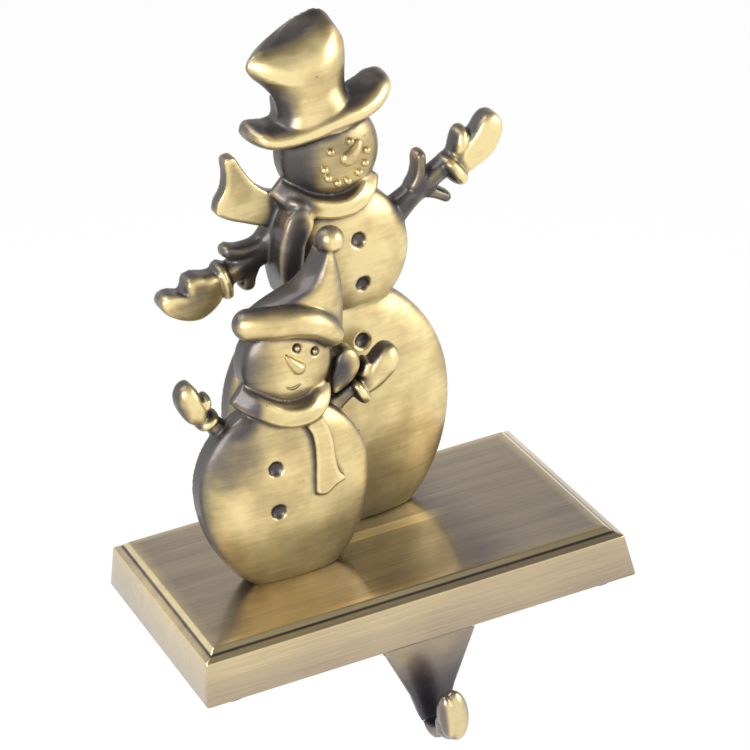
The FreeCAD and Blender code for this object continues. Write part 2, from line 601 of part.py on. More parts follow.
def make_figure_screw(x, y):
    """A pan-head screw, driven up through the base's roof into a figure's foot."""
    head = upright(FIGURE_SCREW_HEAD_RADIUS, x, y, roof_bottom - FIGURE_SCREW_HEAD_HEIGHT, roof_bottom)
    shank = upright(FIGURE_SCREW_RADIUS, x, y, roof_bottom - 0.5, roof_bottom + FIGURE_SCREW_LENGTH)
    return head.fuse(shank)


def make_hook_screw(x, y):
    """A countersunk screw, driven up through the hook's flange into a boss of the base."""
    low = base_bottom - HOOK_FLANGE_THICKNESS
    head = Part.makeCone(HOOK_SCREW_HEAD_RADIUS, HOOK_SCREW_RADIUS, HOOK_FLANGE_THICKNESS, vec(x, y, low))
    shank = upright(HOOK_SCREW_RADIUS, x, y, low + 0.1, low + HOOK_SCREW_LENGTH)
    return head.fuse(shank)


os.makedirs("parts", exist_ok=True)
save(make_base(), "base_casting")
save(make_hook(), "hook")
save(drill_feet(make_large(), figure_screw_places()[:2]), "large_snowman")
save(drill_feet(make_small(), figure_screw_places()[2:]), "small_snowman")
save(Part.makeCompound([make_figure_screw(x, y) for x, y in figure_screw_places()]), "figure_screws")
save(Part.makeCompound([make_hook_screw(x, y) for x, y in hook_screw_places()]), "hook_screws")
save(Part.makeCompound([upright(PAD_RADIUS, x, y, 0, PAD_THICKNESS) for x, y in pad_places()]),
     "non_slip_pads")
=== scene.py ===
import math
from types import SimpleNamespace

import bpy
import numpy as np
from bpy.props import FloatProperty, FloatVectorProperty, PointerProperty
from mathutils import Matrix, Vector


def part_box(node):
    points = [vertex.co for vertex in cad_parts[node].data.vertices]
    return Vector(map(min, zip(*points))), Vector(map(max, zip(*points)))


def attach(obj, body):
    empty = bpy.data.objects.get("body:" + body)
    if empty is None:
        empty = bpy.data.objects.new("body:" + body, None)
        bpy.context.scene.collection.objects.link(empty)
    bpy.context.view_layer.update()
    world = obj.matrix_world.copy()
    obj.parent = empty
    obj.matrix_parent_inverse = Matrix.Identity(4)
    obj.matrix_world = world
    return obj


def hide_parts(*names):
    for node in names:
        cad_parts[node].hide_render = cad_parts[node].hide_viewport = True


bl_info = {
    "name": "Mantel Stocking Holder",
    "version": (1, 0, 0),
    "blender": (4, 5, 0),
    "location": "View3D > Sidebar > Stocking Holder",
    "description": "Dresses the cast stocking holder: brushed base, hook, and two relief-cast snowmen",
    "category": "Object",
}

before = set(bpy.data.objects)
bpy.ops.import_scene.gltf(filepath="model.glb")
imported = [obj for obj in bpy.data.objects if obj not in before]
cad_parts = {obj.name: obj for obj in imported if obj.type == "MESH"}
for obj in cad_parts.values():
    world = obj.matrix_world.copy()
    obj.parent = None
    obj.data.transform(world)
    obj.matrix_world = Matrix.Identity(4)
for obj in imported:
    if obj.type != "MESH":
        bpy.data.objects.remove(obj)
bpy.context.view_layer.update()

MM = 0.001
BASE_LOW, BASE_HIGH = (np.array(corner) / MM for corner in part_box("base_casting"))
PANEL_TOP = BASE_HIGH[2]
BASE_BOTTOM = BASE_LOW[2]
LARGE_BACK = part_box("large_snowman")[1][1] / MM
SMALL_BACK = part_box("small_snowman")[1][1] / MM


def linear(hex_colour):
    """The linear colour, with alpha, of an sRGB hex value such as "E3CF94"."""
    parts = [int(hex_colour[k:k + 2], 16) / 255 for k in (0, 2, 4)]
    return tuple(c / 12.92 if c <= 0.04045 else ((c + 0.055) / 1.055) ** 2.4 for c in parts) + (1.0,)


# What a user may change

# from rubbed brass to the darkest oxide, each a place on the ramp and an sRGB colour
# the ends of these ramps also colour painted highlights and painted shade
FIGURE_STOPS = [(0.0, "F0DBA0"), (0.22, "CFB883"), (0.5, "978868"), (0.75, "6D655C"), (1.0, "504C4B")]
HOOK_STOPS = [(0.0, "E0CB98"), (0.25, "B9A684"), (0.5, "8A7E72"), (0.75, "605B5C"), (1.0, "47464B")]
BASE_STOPS = [(0.0, "E6D29C"), (0.22, "CBB793"), (0.45, "B3A287"), (0.7, "887C71"), (0.95, "5A524E")]


def length(name, description, millimetres, least=0.0):
    return FloatProperty(name=name, description=description, default=millimetres * MM, min=least * MM,
                         subtype="DISTANCE", unit="LENGTH", precision=5)


def colour_of(name, description, hex_colour):
    return FloatVectorProperty(name=name, description=description, subtype="COLOR", size=4, min=0, max=1,
                               default=linear(hex_colour))


def angle_of(name, description, degrees):
    return FloatProperty(name=name, description=description, default=math.radians(degrees), subtype="ANGLE")


class HolderSizes(bpy.types.PropertyGroup):
    side_draft: length("Side draft", "How far the side leans in over its height", 1.8)
    ledge_width: length("Ledge width", "Width of the sunk ledge round the panel", 2.5, 1.0)
    ledge_rise: length("Ledge rise", "How much the ledge climbs towards the panel", 1.0)
    chamfer: length("Panel chamfer", "Width of the panel's bright chamfer", 1.2)
    panel_rise: length("Panel rise", "Height of the panel above the ledge", 1.27)
    wall: length("Base wall", "Thickness of the base casting's side wall", 3.2, 0.5)
    roof: length("Base roof", "Thickness of the base casting's top", 3.0, 0.5)
    edge_radius: length("Edge radius", "Rounding of the base casting's edges", 0.35, 0.05)
    strip: length("Hook thickness", "Thickness of the hook's strip", 3.0, 0.5)
    throat: length("Hook throat", "Gap between the hook's plate and its tip", 9.6, 1.0)
    drop: length("Hook drop", "From the base's underside down to the hook's turn", 20.0, 1.0)
    tip_rise: length("Tip rise", "From the hook's turn up to the top of its tip", 9.0, 1.0)
    root_width: length("Root width", "Width of the hook where it leaves the base", 27.2, 1.0)
    tip_width: length("Tip width", "Width of the hook's spoon-shaped tip", 8.4, 1.0)
    voxel: length("Casting grain", "Spacing of the figures' finished mesh", 0.49, 0.2)


class HolderFinish(bpy.types.PropertyGroup):
    # besides brass and oxide, these ends also colour painted highlights and painted shade
    figure_brass: colour_of("Figures, rubbed", "Brass on the figures where the wheel reached it",
                            FIGURE_STOPS[0][1])
    figure_oxide: colour_of("Figures, dark", "Oxide in the figures' hollows", FIGURE_STOPS[-1][1])
    hook_brass: colour_of("Hook, rubbed", "Brass on the hook where the wheel reached it", HOOK_STOPS[0][1])
    hook_oxide: colour_of("Hook, dark", "Oxide on the hook's plate", HOOK_STOPS[-1][1])
    # on the base, this bright end also colours the painted highlight on the chamfer and outer top edge
    base_brass: colour_of("Base, rubbed", "Brass on the base's rubbed edges", BASE_STOPS[0][1])
    base_oxide: colour_of("Base, dark", "Oxide between the base's streaks", BASE_STOPS[-1][1])
    steel: colour_of("Screws", "Zinc plating on the screws", "C9C9C4")


class HolderStage(bpy.types.PropertyGroup):
    floor_colour: colour_of("Floor", "Colour of the plain floor", "FAFAFA")
    heading: angle_of("Camera heading", "Turn of the view from +Y towards +X", 20.787)
    dip: angle_of("Camera dip", "How far the camera looks down", 26.548)
    roll: angle_of("Camera roll", "Turn of the picture about the line of sight", -6.310)


def in_millimetres(context):
    """The holder's sizes as plain numbers of millimetres."""
    group = context.scene.holder_sizes
    return SimpleNamespace(**{name: getattr(group, name) / MM for name in HolderSizes.__annotations__})


# Curves and surfaces, all in millimetres

def spline(points, count, closed=False, crowd=False):
    """A cubic Hermite curve through the rows of points. Its knots lie a chord of the first two columns
    apart, and its slope at a knot comes from both neighbours. With crowd, the samples sit closer at both
    ends."""
    rows = np.asarray(points, float)
    total = len(rows)
    if closed:
        rows = np.vstack([rows[-2:], rows, rows[:3]])
    gaps = np.hypot(*np.diff(rows[:, :2], axis=0).T)
    knots = np.concatenate([[0.0], np.cumsum(np.maximum(gaps, 1e-6))])
    slopes = np.gradient(rows, knots, axis=0)
    if closed:
        places = np.linspace(knots[2], knots[2 + total], count, endpoint=False)
    elif crowd:
        places = knots[-1] * (1 - np.cos(np.linspace(0, math.pi, count))) / 2
    else:
        places = np.linspace(0, knots[-1], count)
    cell = np.clip(np.searchsorted(knots, places, side="right") - 1, 0, len(knots) - 2)
    span = (knots[cell + 1] - knots[cell])[:, None]
    t = ((places - knots[cell])[:, None]) / span
    return ((2 * t**3 - 3 * t**2 + 1) * rows[cell] + (t**3 - 2 * t**2 + t) * span * slopes[cell]
            + (3 * t**2 - 2 * t**3) * rows[cell + 1] + (t**3 - t**2) * span * slopes[cell + 1])


def skin(rings, flat_ends=False):
    """A closed surface through rings of points, an array of (rings, around, 3). Each end ring is closed
    with a fan to its own middle, or with one flat face."""
    rings = np.asarray(rings, float)
    count, around = rings.shape[:2]
    index = np.arange(count * around).reshape(count, around)
    following = np.roll(index, -1, axis=1)
    quads = np.stack([index[:-1], following[:-1], following[1:], index[1:]], axis=-1).reshape(-1, 4)
    points = rings.reshape(-1, 3)
    if flat_ends:
        faces = [quads, index[0][::-1][None], index[-1][None]]
    else:
        points = np.vstack([points, rings[0].mean(axis=0), rings[-1].mean(axis=0)])
        first = np.full(around, count * around)
        faces = [quads, np.stack([following[0], index[0], first], axis=-1),
                 np.stack([index[-1], following[-1], first + 1], axis=-1)]
    # six times the volume inside, which is negative where the faces look inwards
    volume = 0.0
    for face in faces:
        fan = points[face]
        for k in range(1, fan.shape[1] - 1):
            volume += np.einsum("ij,ij->", fan[:, 0], np.cross(fan[:, k], fan[:, k + 1]))
    if volume < 0:
        faces = [face[:, ::-1] for face in faces]
    return points, faces


def at_depth(flat, y):
    """Rings from outlines in x and z, an array of (rings, around, 2), each at its own y."""
    depth = np.broadcast_to(np.asarray(y)[:, None], flat.shape[:2])
    return np.stack([flat[..., 0], depth, flat[..., 1]], axis=-1)


def egg(centre, half_width, down, up, count=120):
    """An outline of two half ellipses that share their widest line."""
    angle = np.linspace(0, 2 * math.pi, count, endpoint=False)
    height = np.where(np.sin(angle) > 0, up, down)
    return np.stack([centre[0] + half_width * np.cos(angle), centre[1] + height * np.sin(angle)], axis=-1)


def disc(place):
    """A round outline from its middle's x and z and its radius."""
    return egg(place[:2], place[2], place[2], place[2])


def lobe(outline, centre, back, rim, rise, fullness=2.0, steps=22, floor=-math.inf):
    """A cast lobe on an outline: a flat back, a straight wall up to the rim, then copies of the outline
    that shrink towards the centre as they rise along a quarter of a superellipse."""
    turn = np.linspace(0, math.pi / 2, steps, endpoint=False)
    scale = np.concatenate([[0.5, 1.0, 1.0], np.cos(turn) ** (2 / fullness)])
    y = np.concatenate([[back, back, (back + rim) / 2], rim - rise * np.sin(turn) ** (2 / fullness)])
    flat = np.asarray(centre) + scale[:, None, None] * (outline - np.asarray(centre))[None]
    flat[..., 1] = np.maximum(flat[..., 1], floor)
    return skin(at_depth(flat, y))


def distance_along(points):
    """The length of a chain of points up to each of them."""
    return np.concatenate([[0.0], np.cumsum(np.linalg.norm(np.diff(points, axis=0), axis=1))])


def round_off(distance, reach, least=0.01):
    """The share of its size that a section has at a distance from a round end: a quarter circle over the
    reach."""
    return np.sqrt(np.clip(1 - np.clip(1 - distance / reach, 0, 1) ** 2, least, 1))


def d_sections(middle, half, front, back, fullness, shrink, around):
    """A surface through D-shaped sections. Each stands on the back plane, as wide as its half width vector
    says, and its top is half a superellipse that reaches the front y."""
    angle = np.linspace(0, 2 * math.pi, around, endpoint=False)
    across = np.sign(np.cos(angle)) * np.abs(np.cos(angle)) ** (2 / fullness)
    lift = np.where(np.sin(angle) > 1e-9, np.abs(np.sin(angle)) ** (2 / fullness), 0.0)
    flat = middle[:, None] + (half * shrink[:, None])[:, None] * across[None, :, None]
    y = back - ((back - front) * (0.35 + 0.65 * shrink))[:, None] * lift
    return skin(np.stack([flat[..., 0], y, flat[..., 1]], axis=-1))


def bar(stations, back, fullness=2.0, round_ends=(True, True), count=48, around=28):
    """A D-shaped bar along a path. Its stations are x, z, half width and front y. Each section lies square
    to the path, and a round end shrinks over a quarter circle."""
    run = spline(stations, count, crowd=True)
    tangent = np.gradient(run[:, :2], axis=0)
    tangent /= np.linalg.norm(tangent, axis=1)[:, None]
    length = distance_along(run[:, :2])
    shrink = np.ones(count)
    if round_ends[0]:
        shrink *= round_off(length, max(run[0, 2], 0.3))
    if round_ends[1]:
        shrink *= round_off(length[-1] - length, max(run[-1, 2], 0.3))
    half = np.stack([-tangent[:, 1], tangent[:, 0]], axis=-1) * run[:, 2:3]
    return d_sections(run[:, :2], half, run[:, 3], back, fullness, shrink, around)


def rails(stations, back, fullness=2.0, count=60, around=44):
    """A D-shaped body between two rails. Its stations are left x and z, right x and z, and front y."""
    rows = np.asarray(stations, float)
    left, right = rows[:, :2], rows[:, 2:4]
    run = spline(np.column_stack([(left + right) / 2, (right - left) / 2, rows[:, 4]]), count, crowd=True)
    return d_sections(run[:, :2], run[:, 2:4], run[:, 4], back, fullness, np.ones(count), around)


def block(far, near, back, rim, rise, fullness=2.2, start=0.6, steps=18, count=140):
    """A block whose outline changes from far, on its back, to near, on its rim, through matching points,
    with a crown in front as on a lobe. The crown is the part of the superellipse beyond the start angle, so
    it goes on from the leaning wall without a kink."""
    both = spline(np.hstack([near, far]), count, closed=True)
    near, far = both[:, :2], both[:, 2:]
    centre = near.mean(axis=0)
    turn = np.linspace(start, math.pi / 2, steps, endpoint=False)
    shrink = (np.cos(turn) / math.cos(start)) ** (2 / fullness)
    low = math.sin(start) ** (2 / fullness)
    climb = (np.sin(turn) ** (2 / fullness) - low) / (1 - low)
    share = np.linspace(0, 1, 8)
    inner = far.mean(axis=0) + (far - far.mean(axis=0)) * 0.5
    straight = far + (near - far) * share[:, None, None]
    crown = centre + (near - centre)[None] * shrink[:, None, None]
    y = np.concatenate([[back], back + (rim - back) * share, rim - rise * climb])
    return skin(at_depth(np.concatenate([inner[None], straight, crown]), y))


def plate(outline, back, front, edge, steps=5):
    """A slab with a smooth outline between two y planes. Its front edge is a quarter circle of radius edge,
    which moves each point inwards along the outline's normal."""
    following, before = np.roll(outline, -1, axis=0), np.roll(outline, 1, axis=0)
    tangent = following - before
    normal = np.stack([-tangent[:, 1], tangent[:, 0]], axis=-1) / np.linalg.norm(tangent, axis=1)[:, None]
    area = np.sum(outline[:, 0] * following[:, 1] - following[:, 0] * outline[:, 1])
    turn = np.linspace(0, math.pi / 2, steps)
    offset = np.concatenate([[0.0], edge * (1 - np.cos(turn))])
    y = np.concatenate([[back], front + edge * (1 - np.sin(turn))])
    return skin(at_depth(outline + offset[:, None, None] * (normal * np.sign(area))[None], y),
                flat_ends=True)


def tube(path, radii, count=40, around=28, depth=1.0):
    """A round roll along a path in space: circles square to the path, whose radius follows the given radii
    and shrinks over a quarter circle at both ends. Depth stretches the circles along y."""
    run = spline(np.column_stack([path, radii]), count, crowd=True)
    tangent = np.gradient(run[:, :3], axis=0)
    tangent /= np.linalg.norm(tangent, axis=1)[:, None]
    length = distance_along(run[:, :3])
    near_end = np.minimum(length / run[0, 3], (length[-1] - length) / run[-1, 3])
    radius = (run[:, 3] * round_off(near_end, 1.0, 0.0004))[:, None, None]
    side = np.cross(tangent, (0.0, 1.0, 0.0))
    side /= np.linalg.norm(side, axis=1)[:, None]
    other = np.cross(tangent, side)
    angle = np.linspace(0, 2 * math.pi, around, endpoint=False)[None, :, None]
    circle = np.cos(angle) * side[:, None] + np.sin(angle) * other[:, None] * depth
    return skin(run[:, None, :3] + radius * circle)


def lathe(profile, centre, around=40):
    """A turned form: rows of radius and height, swung round an upright line through the centre."""
    radius, height = np.asarray(profile, float).T[:, :, None]
    radius = np.maximum(radius, 0.001)
    angle = np.linspace(0, 2 * math.pi, around, endpoint=False)
    rings = np.broadcast_arrays(radius * np.cos(angle), radius * np.sin(angle), height)
    return skin(np.stack(rings, axis=-1) + np.asarray(centre))


def sphere(centre, radius, stretch=(1.0, 1.0, 1.0), around=24):
    """A ball, or an ellipsoid with stretch: circles whose radius is the sine and whose height the
    cosine."""
    turn = np.linspace(0.12, math.pi - 0.12, around // 2)
    profile = np.column_stack([radius * np.sin(turn), -radius * np.cos(turn)])
    points, faces = lathe(profile, (0, 0, 0), around)
    return points * np.asarray(stretch) + np.asarray(centre), faces


def moved(part, dx, dy, dz):
    """The part with its points shifted."""
    points, faces = part
    return points + np.array([dx, dy, dz]), faces


def build(name, parts):
    """One mesh object in metres from parts of points and faces, filled as whole arrays."""
    points = np.vstack([part[0] for part in parts]) * MM
    starts = np.cumsum([0] + [len(part[0]) for part in parts[:-1]])
    loops, totals = [], []
    for start, (_, faces) in zip(starts, parts):
        for face in faces:
            loops.append((face + start).ravel())
            totals.append(np.full(len(face), face.shape[1]))
    loops, totals = np.concatenate(loops), np.concatenate(totals)
    mesh = bpy.data.meshes.new(name)
    mesh.vertices.add(len(points))
    mesh.loops.add(len(loops))
    mesh.polygons.add(len(totals))
    mesh.vertices.foreach_set("co", points.ravel())
    mesh.loops.foreach_set("vertex_index", loops.astype(np.int32))
    mesh.polygons.foreach_set("loop_start", np.concatenate([[0], np.cumsum(totals)[:-1]]).astype(np.int32))
    mesh.polygons.foreach_set("use_smooth", np.ones(len(totals), bool))
    mesh.update(calc_edges=True)
    mesh.validate()
    piece = bpy.data.objects.new(name, mesh)
    bpy.context.scene.collection.objects.link(piece)
    return piece


def finished(piece):
    """The piece with its modifiers turned into plain mesh."""
    depsgraph = bpy.context.evaluated_depsgraph_get()
    mesh = bpy.data.meshes.new_from_object(piece.evaluated_get(depsgraph))
    piece.modifiers.clear()
    old = piece.data
    piece.data = mesh
    mesh.name = piece.name
    bpy.data.meshes.remove(old)
    return piece


def cast_together(piece, voxel, smooth_rounds):
    """Parts that run into each other become one skin, with the small soft fillets of a casting."""
    remesh = piece.modifiers.new("one_skin", "REMESH")
    remesh.mode = "VOXEL"
    remesh.voxel_size = voxel * MM
    remesh.use_smooth_shade = True
    soften = piece.modifiers.new("cast_fillets", "SMOOTH")
    soften.factor = 0.5
    soften.iterations = smooth_rounds
    return finished(piece)


def read(items, name, width=1):
    """One property of a mesh's vertices, normals or attribute values, as an array of rows."""
    values = np.empty(len(items) * width, np.float32)
    items.foreach_get(name, values)
    return values.reshape(-1, width).astype(float)


def read_points(mesh):
    return read(mesh.vertices, "co", 3) / MM


def read_normals(mesh):
    return read(mesh.vertex_normals, "vector", 3)


def neighbourhood(mesh, values, rounds):
    """The values averaged with those of linked vertices, over and over: a blur along the surface."""
    edges = np.empty(len(mesh.edges) * 2, np.int32)
    mesh.edges.foreach_get("vertices", edges)
    a, b = edges.reshape(-1, 2).T
    total = len(mesh.vertices)
    links = np.bincount(a, minlength=total) + np.bincount(b, minlength=total) + 1
    values = np.array(values, float)
    for _ in range(rounds):
        for k in range(values.shape[1]):
            column = values[:, k]
            spread = np.bincount(a, column[b], total) + np.bincount(b, column[a], total)
            values[:, k] = (column + spread) / links
    return values


def ramp(values, low, high):
    """A smooth step from 0 at low to 1 at high."""
    t = np.clip((values - low) / (high - low), 0, 1)
    return t * t * (3 - 2 * t)


def keep_attribute(mesh, name, values):
    """Stores one value from 0 to 1 for each point, which the materials read."""
    attribute = mesh.attributes.get(name) or mesh.attributes.new(name, "FLOAT", "POINT")
    attribute.data.foreach_set("value", np.clip(values, 0, 1).astype(np.float32))


def kept_attribute(mesh, name):
    return read(mesh.attributes[name].data, "value")[:, 0]


def age_and_shade(piece, oxide_and_painted_light_spots, place_x=0.0, hollow_reach=28):
    """Two attributes that the brass reads. patina is 1 where the dark oxide was left: on walls that look
    sideways, up or back, and in hollows. It also holds painted shade on slopes that turn left. The given
    spots add oxide and painted shade, and spots that take away paint highlights. edge is 1 on outward edges
    that the buff reached first. A spot is an ellipsoid's place from the figure's foot, its three half axes,
    and what it adds."""
    mesh = piece.data
    points, normals = read_points(mesh), read_normals(mesh)
    near = neighbourhood(mesh, points, 4)
    wide = neighbourhood(mesh, near, hollow_reach)
    hollow = np.einsum("ij,ij->i", wide - points, normals)
    tight = np.einsum("ij,ij->i", near - points, normals)
    patina_and_shade = 1 - ramp(-normals[:, 1], 0.05, 1.05)
    patina_and_shade = np.maximum(patina_and_shade, 0.75 * ramp(normals[:, 2], 0.55, 0.95))
    # painted shade on slopes that turn left, and the oxide in hollows
    patina_and_shade = np.maximum(patina_and_shade + 0.32 * ramp(-normals[:, 0], 0.1, 0.6), ramp(hollow, 0.10, 0.55))
    patina_and_shade = np.where(normals[:, 1] > 0.6, np.minimum(patina_and_shade, 0.6), patina_and_shade)
    for x, y, z, reach_x, reach_y, reach_z, amount in oxide_and_painted_light_spots:
        place = (place_x + x, y, PANEL_TOP + z)
        far = np.linalg.norm((points - place) / (reach_x, reach_y, reach_z), axis=1)
        patina_and_shade = patina_and_shade + amount * (1 - ramp(far, 0.35, 1.0))
    edge = ramp(-tight, 0.015, 0.07)
    keep_attribute(mesh, "patina_and_shade", neighbourhood(mesh, patina_and_shade[:, None], 3)[:, 0])
    keep_attribute(mesh, "edge", neighbourhood(mesh, edge[:, None], 1)[:, 0])


# Materials

def add_node(tree, kind, settings=None, links=None):
    """Adds one shader node, gives its settings, input values and links, and returns it."""
    node = tree.nodes.new("ShaderNode" + kind)
    for key, value in (settings or {}).items():
        if isinstance(key, int) or key in node.inputs:
            node.inputs[key].default_value = value
        else:
            setattr(node, key, value)
    for key, socket in (links or {}).items():
        tree.links.new(socket, node.inputs[key])
    return node


def new_material(name):
    """A material with nothing but its output node."""
    material = bpy.data.materials.new(name)
    material.use_nodes = True
    tree = material.node_tree
    tree.nodes.clear()
    output = add_node(tree, "OutputMaterial")
    return material, tree, output


def colour_stops(node, stops):
    """Sets a colour ramp's stops, each a place and a colour, as an sRGB hex value or already linear."""
    elements = node.color_ramp.elements
    while len(elements) > 1:
        elements.remove(elements[-1])
    for number, (place, colour) in enumerate(stops):
        element = elements[0] if number == 0 else elements.new(place)
        element.position = place
        element.color = linear(colour) if isinstance(colour, str) else tuple(colour)


def streaks(tree, place, turn, stretch, detail):
    """Noise drawn out along one direction, as an abrasive wheel or belt leaves it."""
    mapping = add_node(tree, "Mapping", {"Rotation": turn, "Scale": stretch}, {"Vector": place})
    return add_node(tree, "TexNoise", {"Scale": 1.0, "Detail": detail, "Roughness": 0.6},
                    {"Vector": mapping.outputs[0]})


def weighted_sum(tree, terms):
    """The sum of sockets, each times its weight."""
    total = None
    for socket, weight in terms:
        if total is None:
            total = add_node(tree, "Math", {"operation": "MULTIPLY", 1: weight},
                             {0: socket}).outputs[0]
        else:
            total = add_node(tree, "Math", {"operation": "MULTIPLY_ADD", 1: weight},
                             {0: socket, 2: total}).outputs[0]
    return total


def figure_brass(name, stops, rough_low=0.32, rough_high=0.44, brushed=0.06, clouded=0.2):
    """Cast zinc alloy with antique brass plating: darkened, then relieved on the wheel, then lacquered. The
    buffed fronts are pale gold with soft, fine strokes, the hollows and walls stay dark, and the lacquer adds
    small glints. The patina attribute also brings painted shade and painted highlights into the colour."""
    material, tree, output = new_material(name)
    place = add_node(tree, "TexCoord").outputs["Object"]
    patina_and_shade = add_node(tree, "Attribute", {"attribute_name": "patina_and_shade"})
    edge = add_node(tree, "Attribute", {"attribute_name": "edge"})
    cloud = add_node(tree, "TexNoise", {"Scale": 65.0, "Detail": 3.0, "Roughness": 0.55},
                     {"Vector": place})
    strokes = streaks(tree, place, (0, 0.35, 0), (80.0, 300.0, 800.0), 3.0)
    spread = {"From Min": 0.3, "From Max": 0.7}
    cloudy = add_node(tree, "MapRange",
                      {**spread, "To Min": -0.5 * clouded, "To Max": 1.5 * clouded},
                      {"Value": cloud.outputs["Fac"]})
    stroked = add_node(tree, "MapRange", {**spread, "To Min": -brushed, "To Max": brushed},
                       {"Value": strokes.outputs["Fac"]})
    # pits of 0.2 mm that the casting left, in one cell of five, 4 mm apart
    cell = add_node(tree, "TexVoronoi", {"Scale": 250.0}, {"Vector": place})
    chosen = add_node(tree, "SeparateColor", {}, {"Color": cell.outputs["Color"]})
    kept = add_node(tree, "Math", {"operation": "GREATER_THAN", 1: 0.8},
                    {0: chosen.outputs["Red"]})
    hole = add_node(tree, "MapRange",
                    {"From Min": 0.03, "From Max": 0.07, "To Min": 0.7, "To Max": 0.0},
                    {"Value": cell.outputs["Distance"]})
    pit = add_node(tree, "Math", {"operation": "MULTIPLY"},
                   {0: hole.outputs[0], 1: kept.outputs[0]})
    # patina brings oxide, painted shade and painted highlights into the colour; edge brings the rubbed edges
    oxide_and_shade = weighted_sum(tree, [(patina_and_shade.outputs["Fac"], 1.0), (cloudy.outputs[0], 1.0),
                                (stroked.outputs[0], 1.0), (pit.outputs[0], 1.0),
                                (edge.outputs["Fac"], -0.45)])
    colour = add_node(tree, "ValToRGB", {}, {"Fac": oxide_and_shade})
    colour_stops(colour, stops)
    rough = add_node(tree, "MapRange", {"To Min": rough_low, "To Max": rough_high},
                     {"Value": oxide_and_shade})
    bump = add_node(tree, "Bump", {"Strength": 0.25, "Distance": 0.00004},
                    {"Height": strokes.outputs["Fac"]})
    shader = add_node(tree, "BsdfPrincipled",
                      {"Metallic": 0.85, "Coat Weight": 0.3, "Coat Roughness": 0.12, "Anisotropic": 0.2},
                      {"Base Color": colour.outputs["Color"], "Roughness": rough.outputs[0],
                       "Normal": bump.outputs["Normal"]})
    tree.links.new(shader.outputs[0], output.inputs["Surface"])
    return material


def base_brass(name, stops):
    """Cast zinc alloy with antique brass plating, brushed along its length on a belt and lacquered: long fine
    streaks and grey where the oxide stayed, with a painted highlight on the chamfer and the outer top edge
    and a painted shade line at the chamfer's foot, under a clear, glossy coat."""
    material, tree, output = new_material(name)
    place = add_node(tree, "TexCoord").outputs["Object"]
    edge = add_node(tree, "Attribute", {"attribute_name": "edge"})
    patina_and_shade = add_node(tree, "Attribute", {"attribute_name": "patina_and_shade"})
    # streaks some 110 mm long and 4 mm wide, and fine ones 17 mm long and 0.5 mm wide
    long_streaks = streaks(tree, place, (0, 0, 0), (9.0, 260.0, 260.0), 4.0)
    fine_streaks = streaks(tree, place, (0, 0, 0), (60.0, 2200.0, 2200.0), 3.0)
    cloud = add_node(tree, "TexNoise", {"Scale": 26.0, "Detail": 2.0, "Roughness": 0.5},
                     {"Vector": place})
    # on the base, edge is a painted highlight, and patina a painted shade line with darkening round the
    # figures' feet
    oxide_and_shade = weighted_sum(tree, [(long_streaks.outputs["Fac"], 0.32), (fine_streaks.outputs["Fac"], 0.32),
                                (cloud.outputs["Fac"], 0.35), (patina_and_shade.outputs["Fac"], 0.55),
                                (edge.outputs["Fac"], -0.45)])
    colour = add_node(tree, "ValToRGB", {}, {"Fac": oxide_and_shade})
    colour_stops(colour, stops)
    bump = add_node(tree, "Bump", {"Strength": 0.3, "Distance": 0.00003},
                    {"Height": fine_streaks.outputs["Fac"]})
    shader = add_node(tree, "BsdfPrincipled",
                      {"Metallic": 1.0, "Roughness": 0.27, "Coat Weight": 0.6, "Coat Roughness": 0.05,
                       "Anisotropic": 0.5},
                      {"Base Color": colour.outputs["Color"], "Normal": bump.outputs["Normal"]})
    tree.links.new(shader.outputs[0], output.inputs["Surface"])
    return material


def plated_steel(name, colour, roughness):
    """Steel wire, headed and thread-rolled, then zinc plated: light grey with a faint, even grain."""
    material, tree, output = new_material(name)
    place = add_node(tree, "TexCoord").outputs["Object"]
    grain = add_node(tree, "TexNoise", {"Scale": 1500.0, "Detail": 2.0}, {"Vector": place})
    bump = add_node(tree, "Bump", {"Strength": 0.2, "Distance": 0.00002},
                    {"Height": grain.outputs["Fac"]})
    shader = add_node(tree, "BsdfPrincipled",
                      {"Base Color": tuple(colour), "Metallic": 1.0, "Roughness": roughness},
                      {"Normal": bump.outputs["Normal"]})
    tree.links.new(shader.outputs[0], output.inputs["Surface"])
    return material


def pad_rubber(name):
    """Natural rubber sheet, die-cut: matt black with a fine, pebbled skin."""
    material, tree, output = new_material(name)
    place = add_node(tree, "TexCoord").outputs["Object"]
    pebbles = add_node(tree, "TexNoise", {"Scale": 2600.0, "Detail": 3.0}, {"Vector": place})
    tone = add_node(tree, "ValToRGB", {}, {"Fac": pebbles.outputs["Fac"]})
    colour_stops(tone, [(0.3, "191919"), (0.7, "2A2927")])
    bump = add_node(tree, "Bump", {"Strength": 0.5, "Distance": 0.00006},
                    {"Height": pebbles.outputs["Fac"]})
    shader = add_node(tree, "BsdfPrincipled", {"Roughness": 0.8},
                      {"Base Color": tone.outputs["Color"], "Normal": bump.outputs["Normal"]})
    tree.links.new(shader.outputs[0], output.inputs["Surface"])
    return material



def between(rubbed, stops, dark):
    """A ramp's stops whose first and last colours are the user's."""
    return [(stops[0][0], rubbed)] + stops[1:-1] + [(stops[-1][0], dark)]


def dress(piece, material, node):
    """Gives the piece its one material, seats it on the body and hides the CAD node it stands for."""
    piece.data.materials.clear()
    piece.data.materials.append(material)
    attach(piece, "root")
    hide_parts(node)


# The base

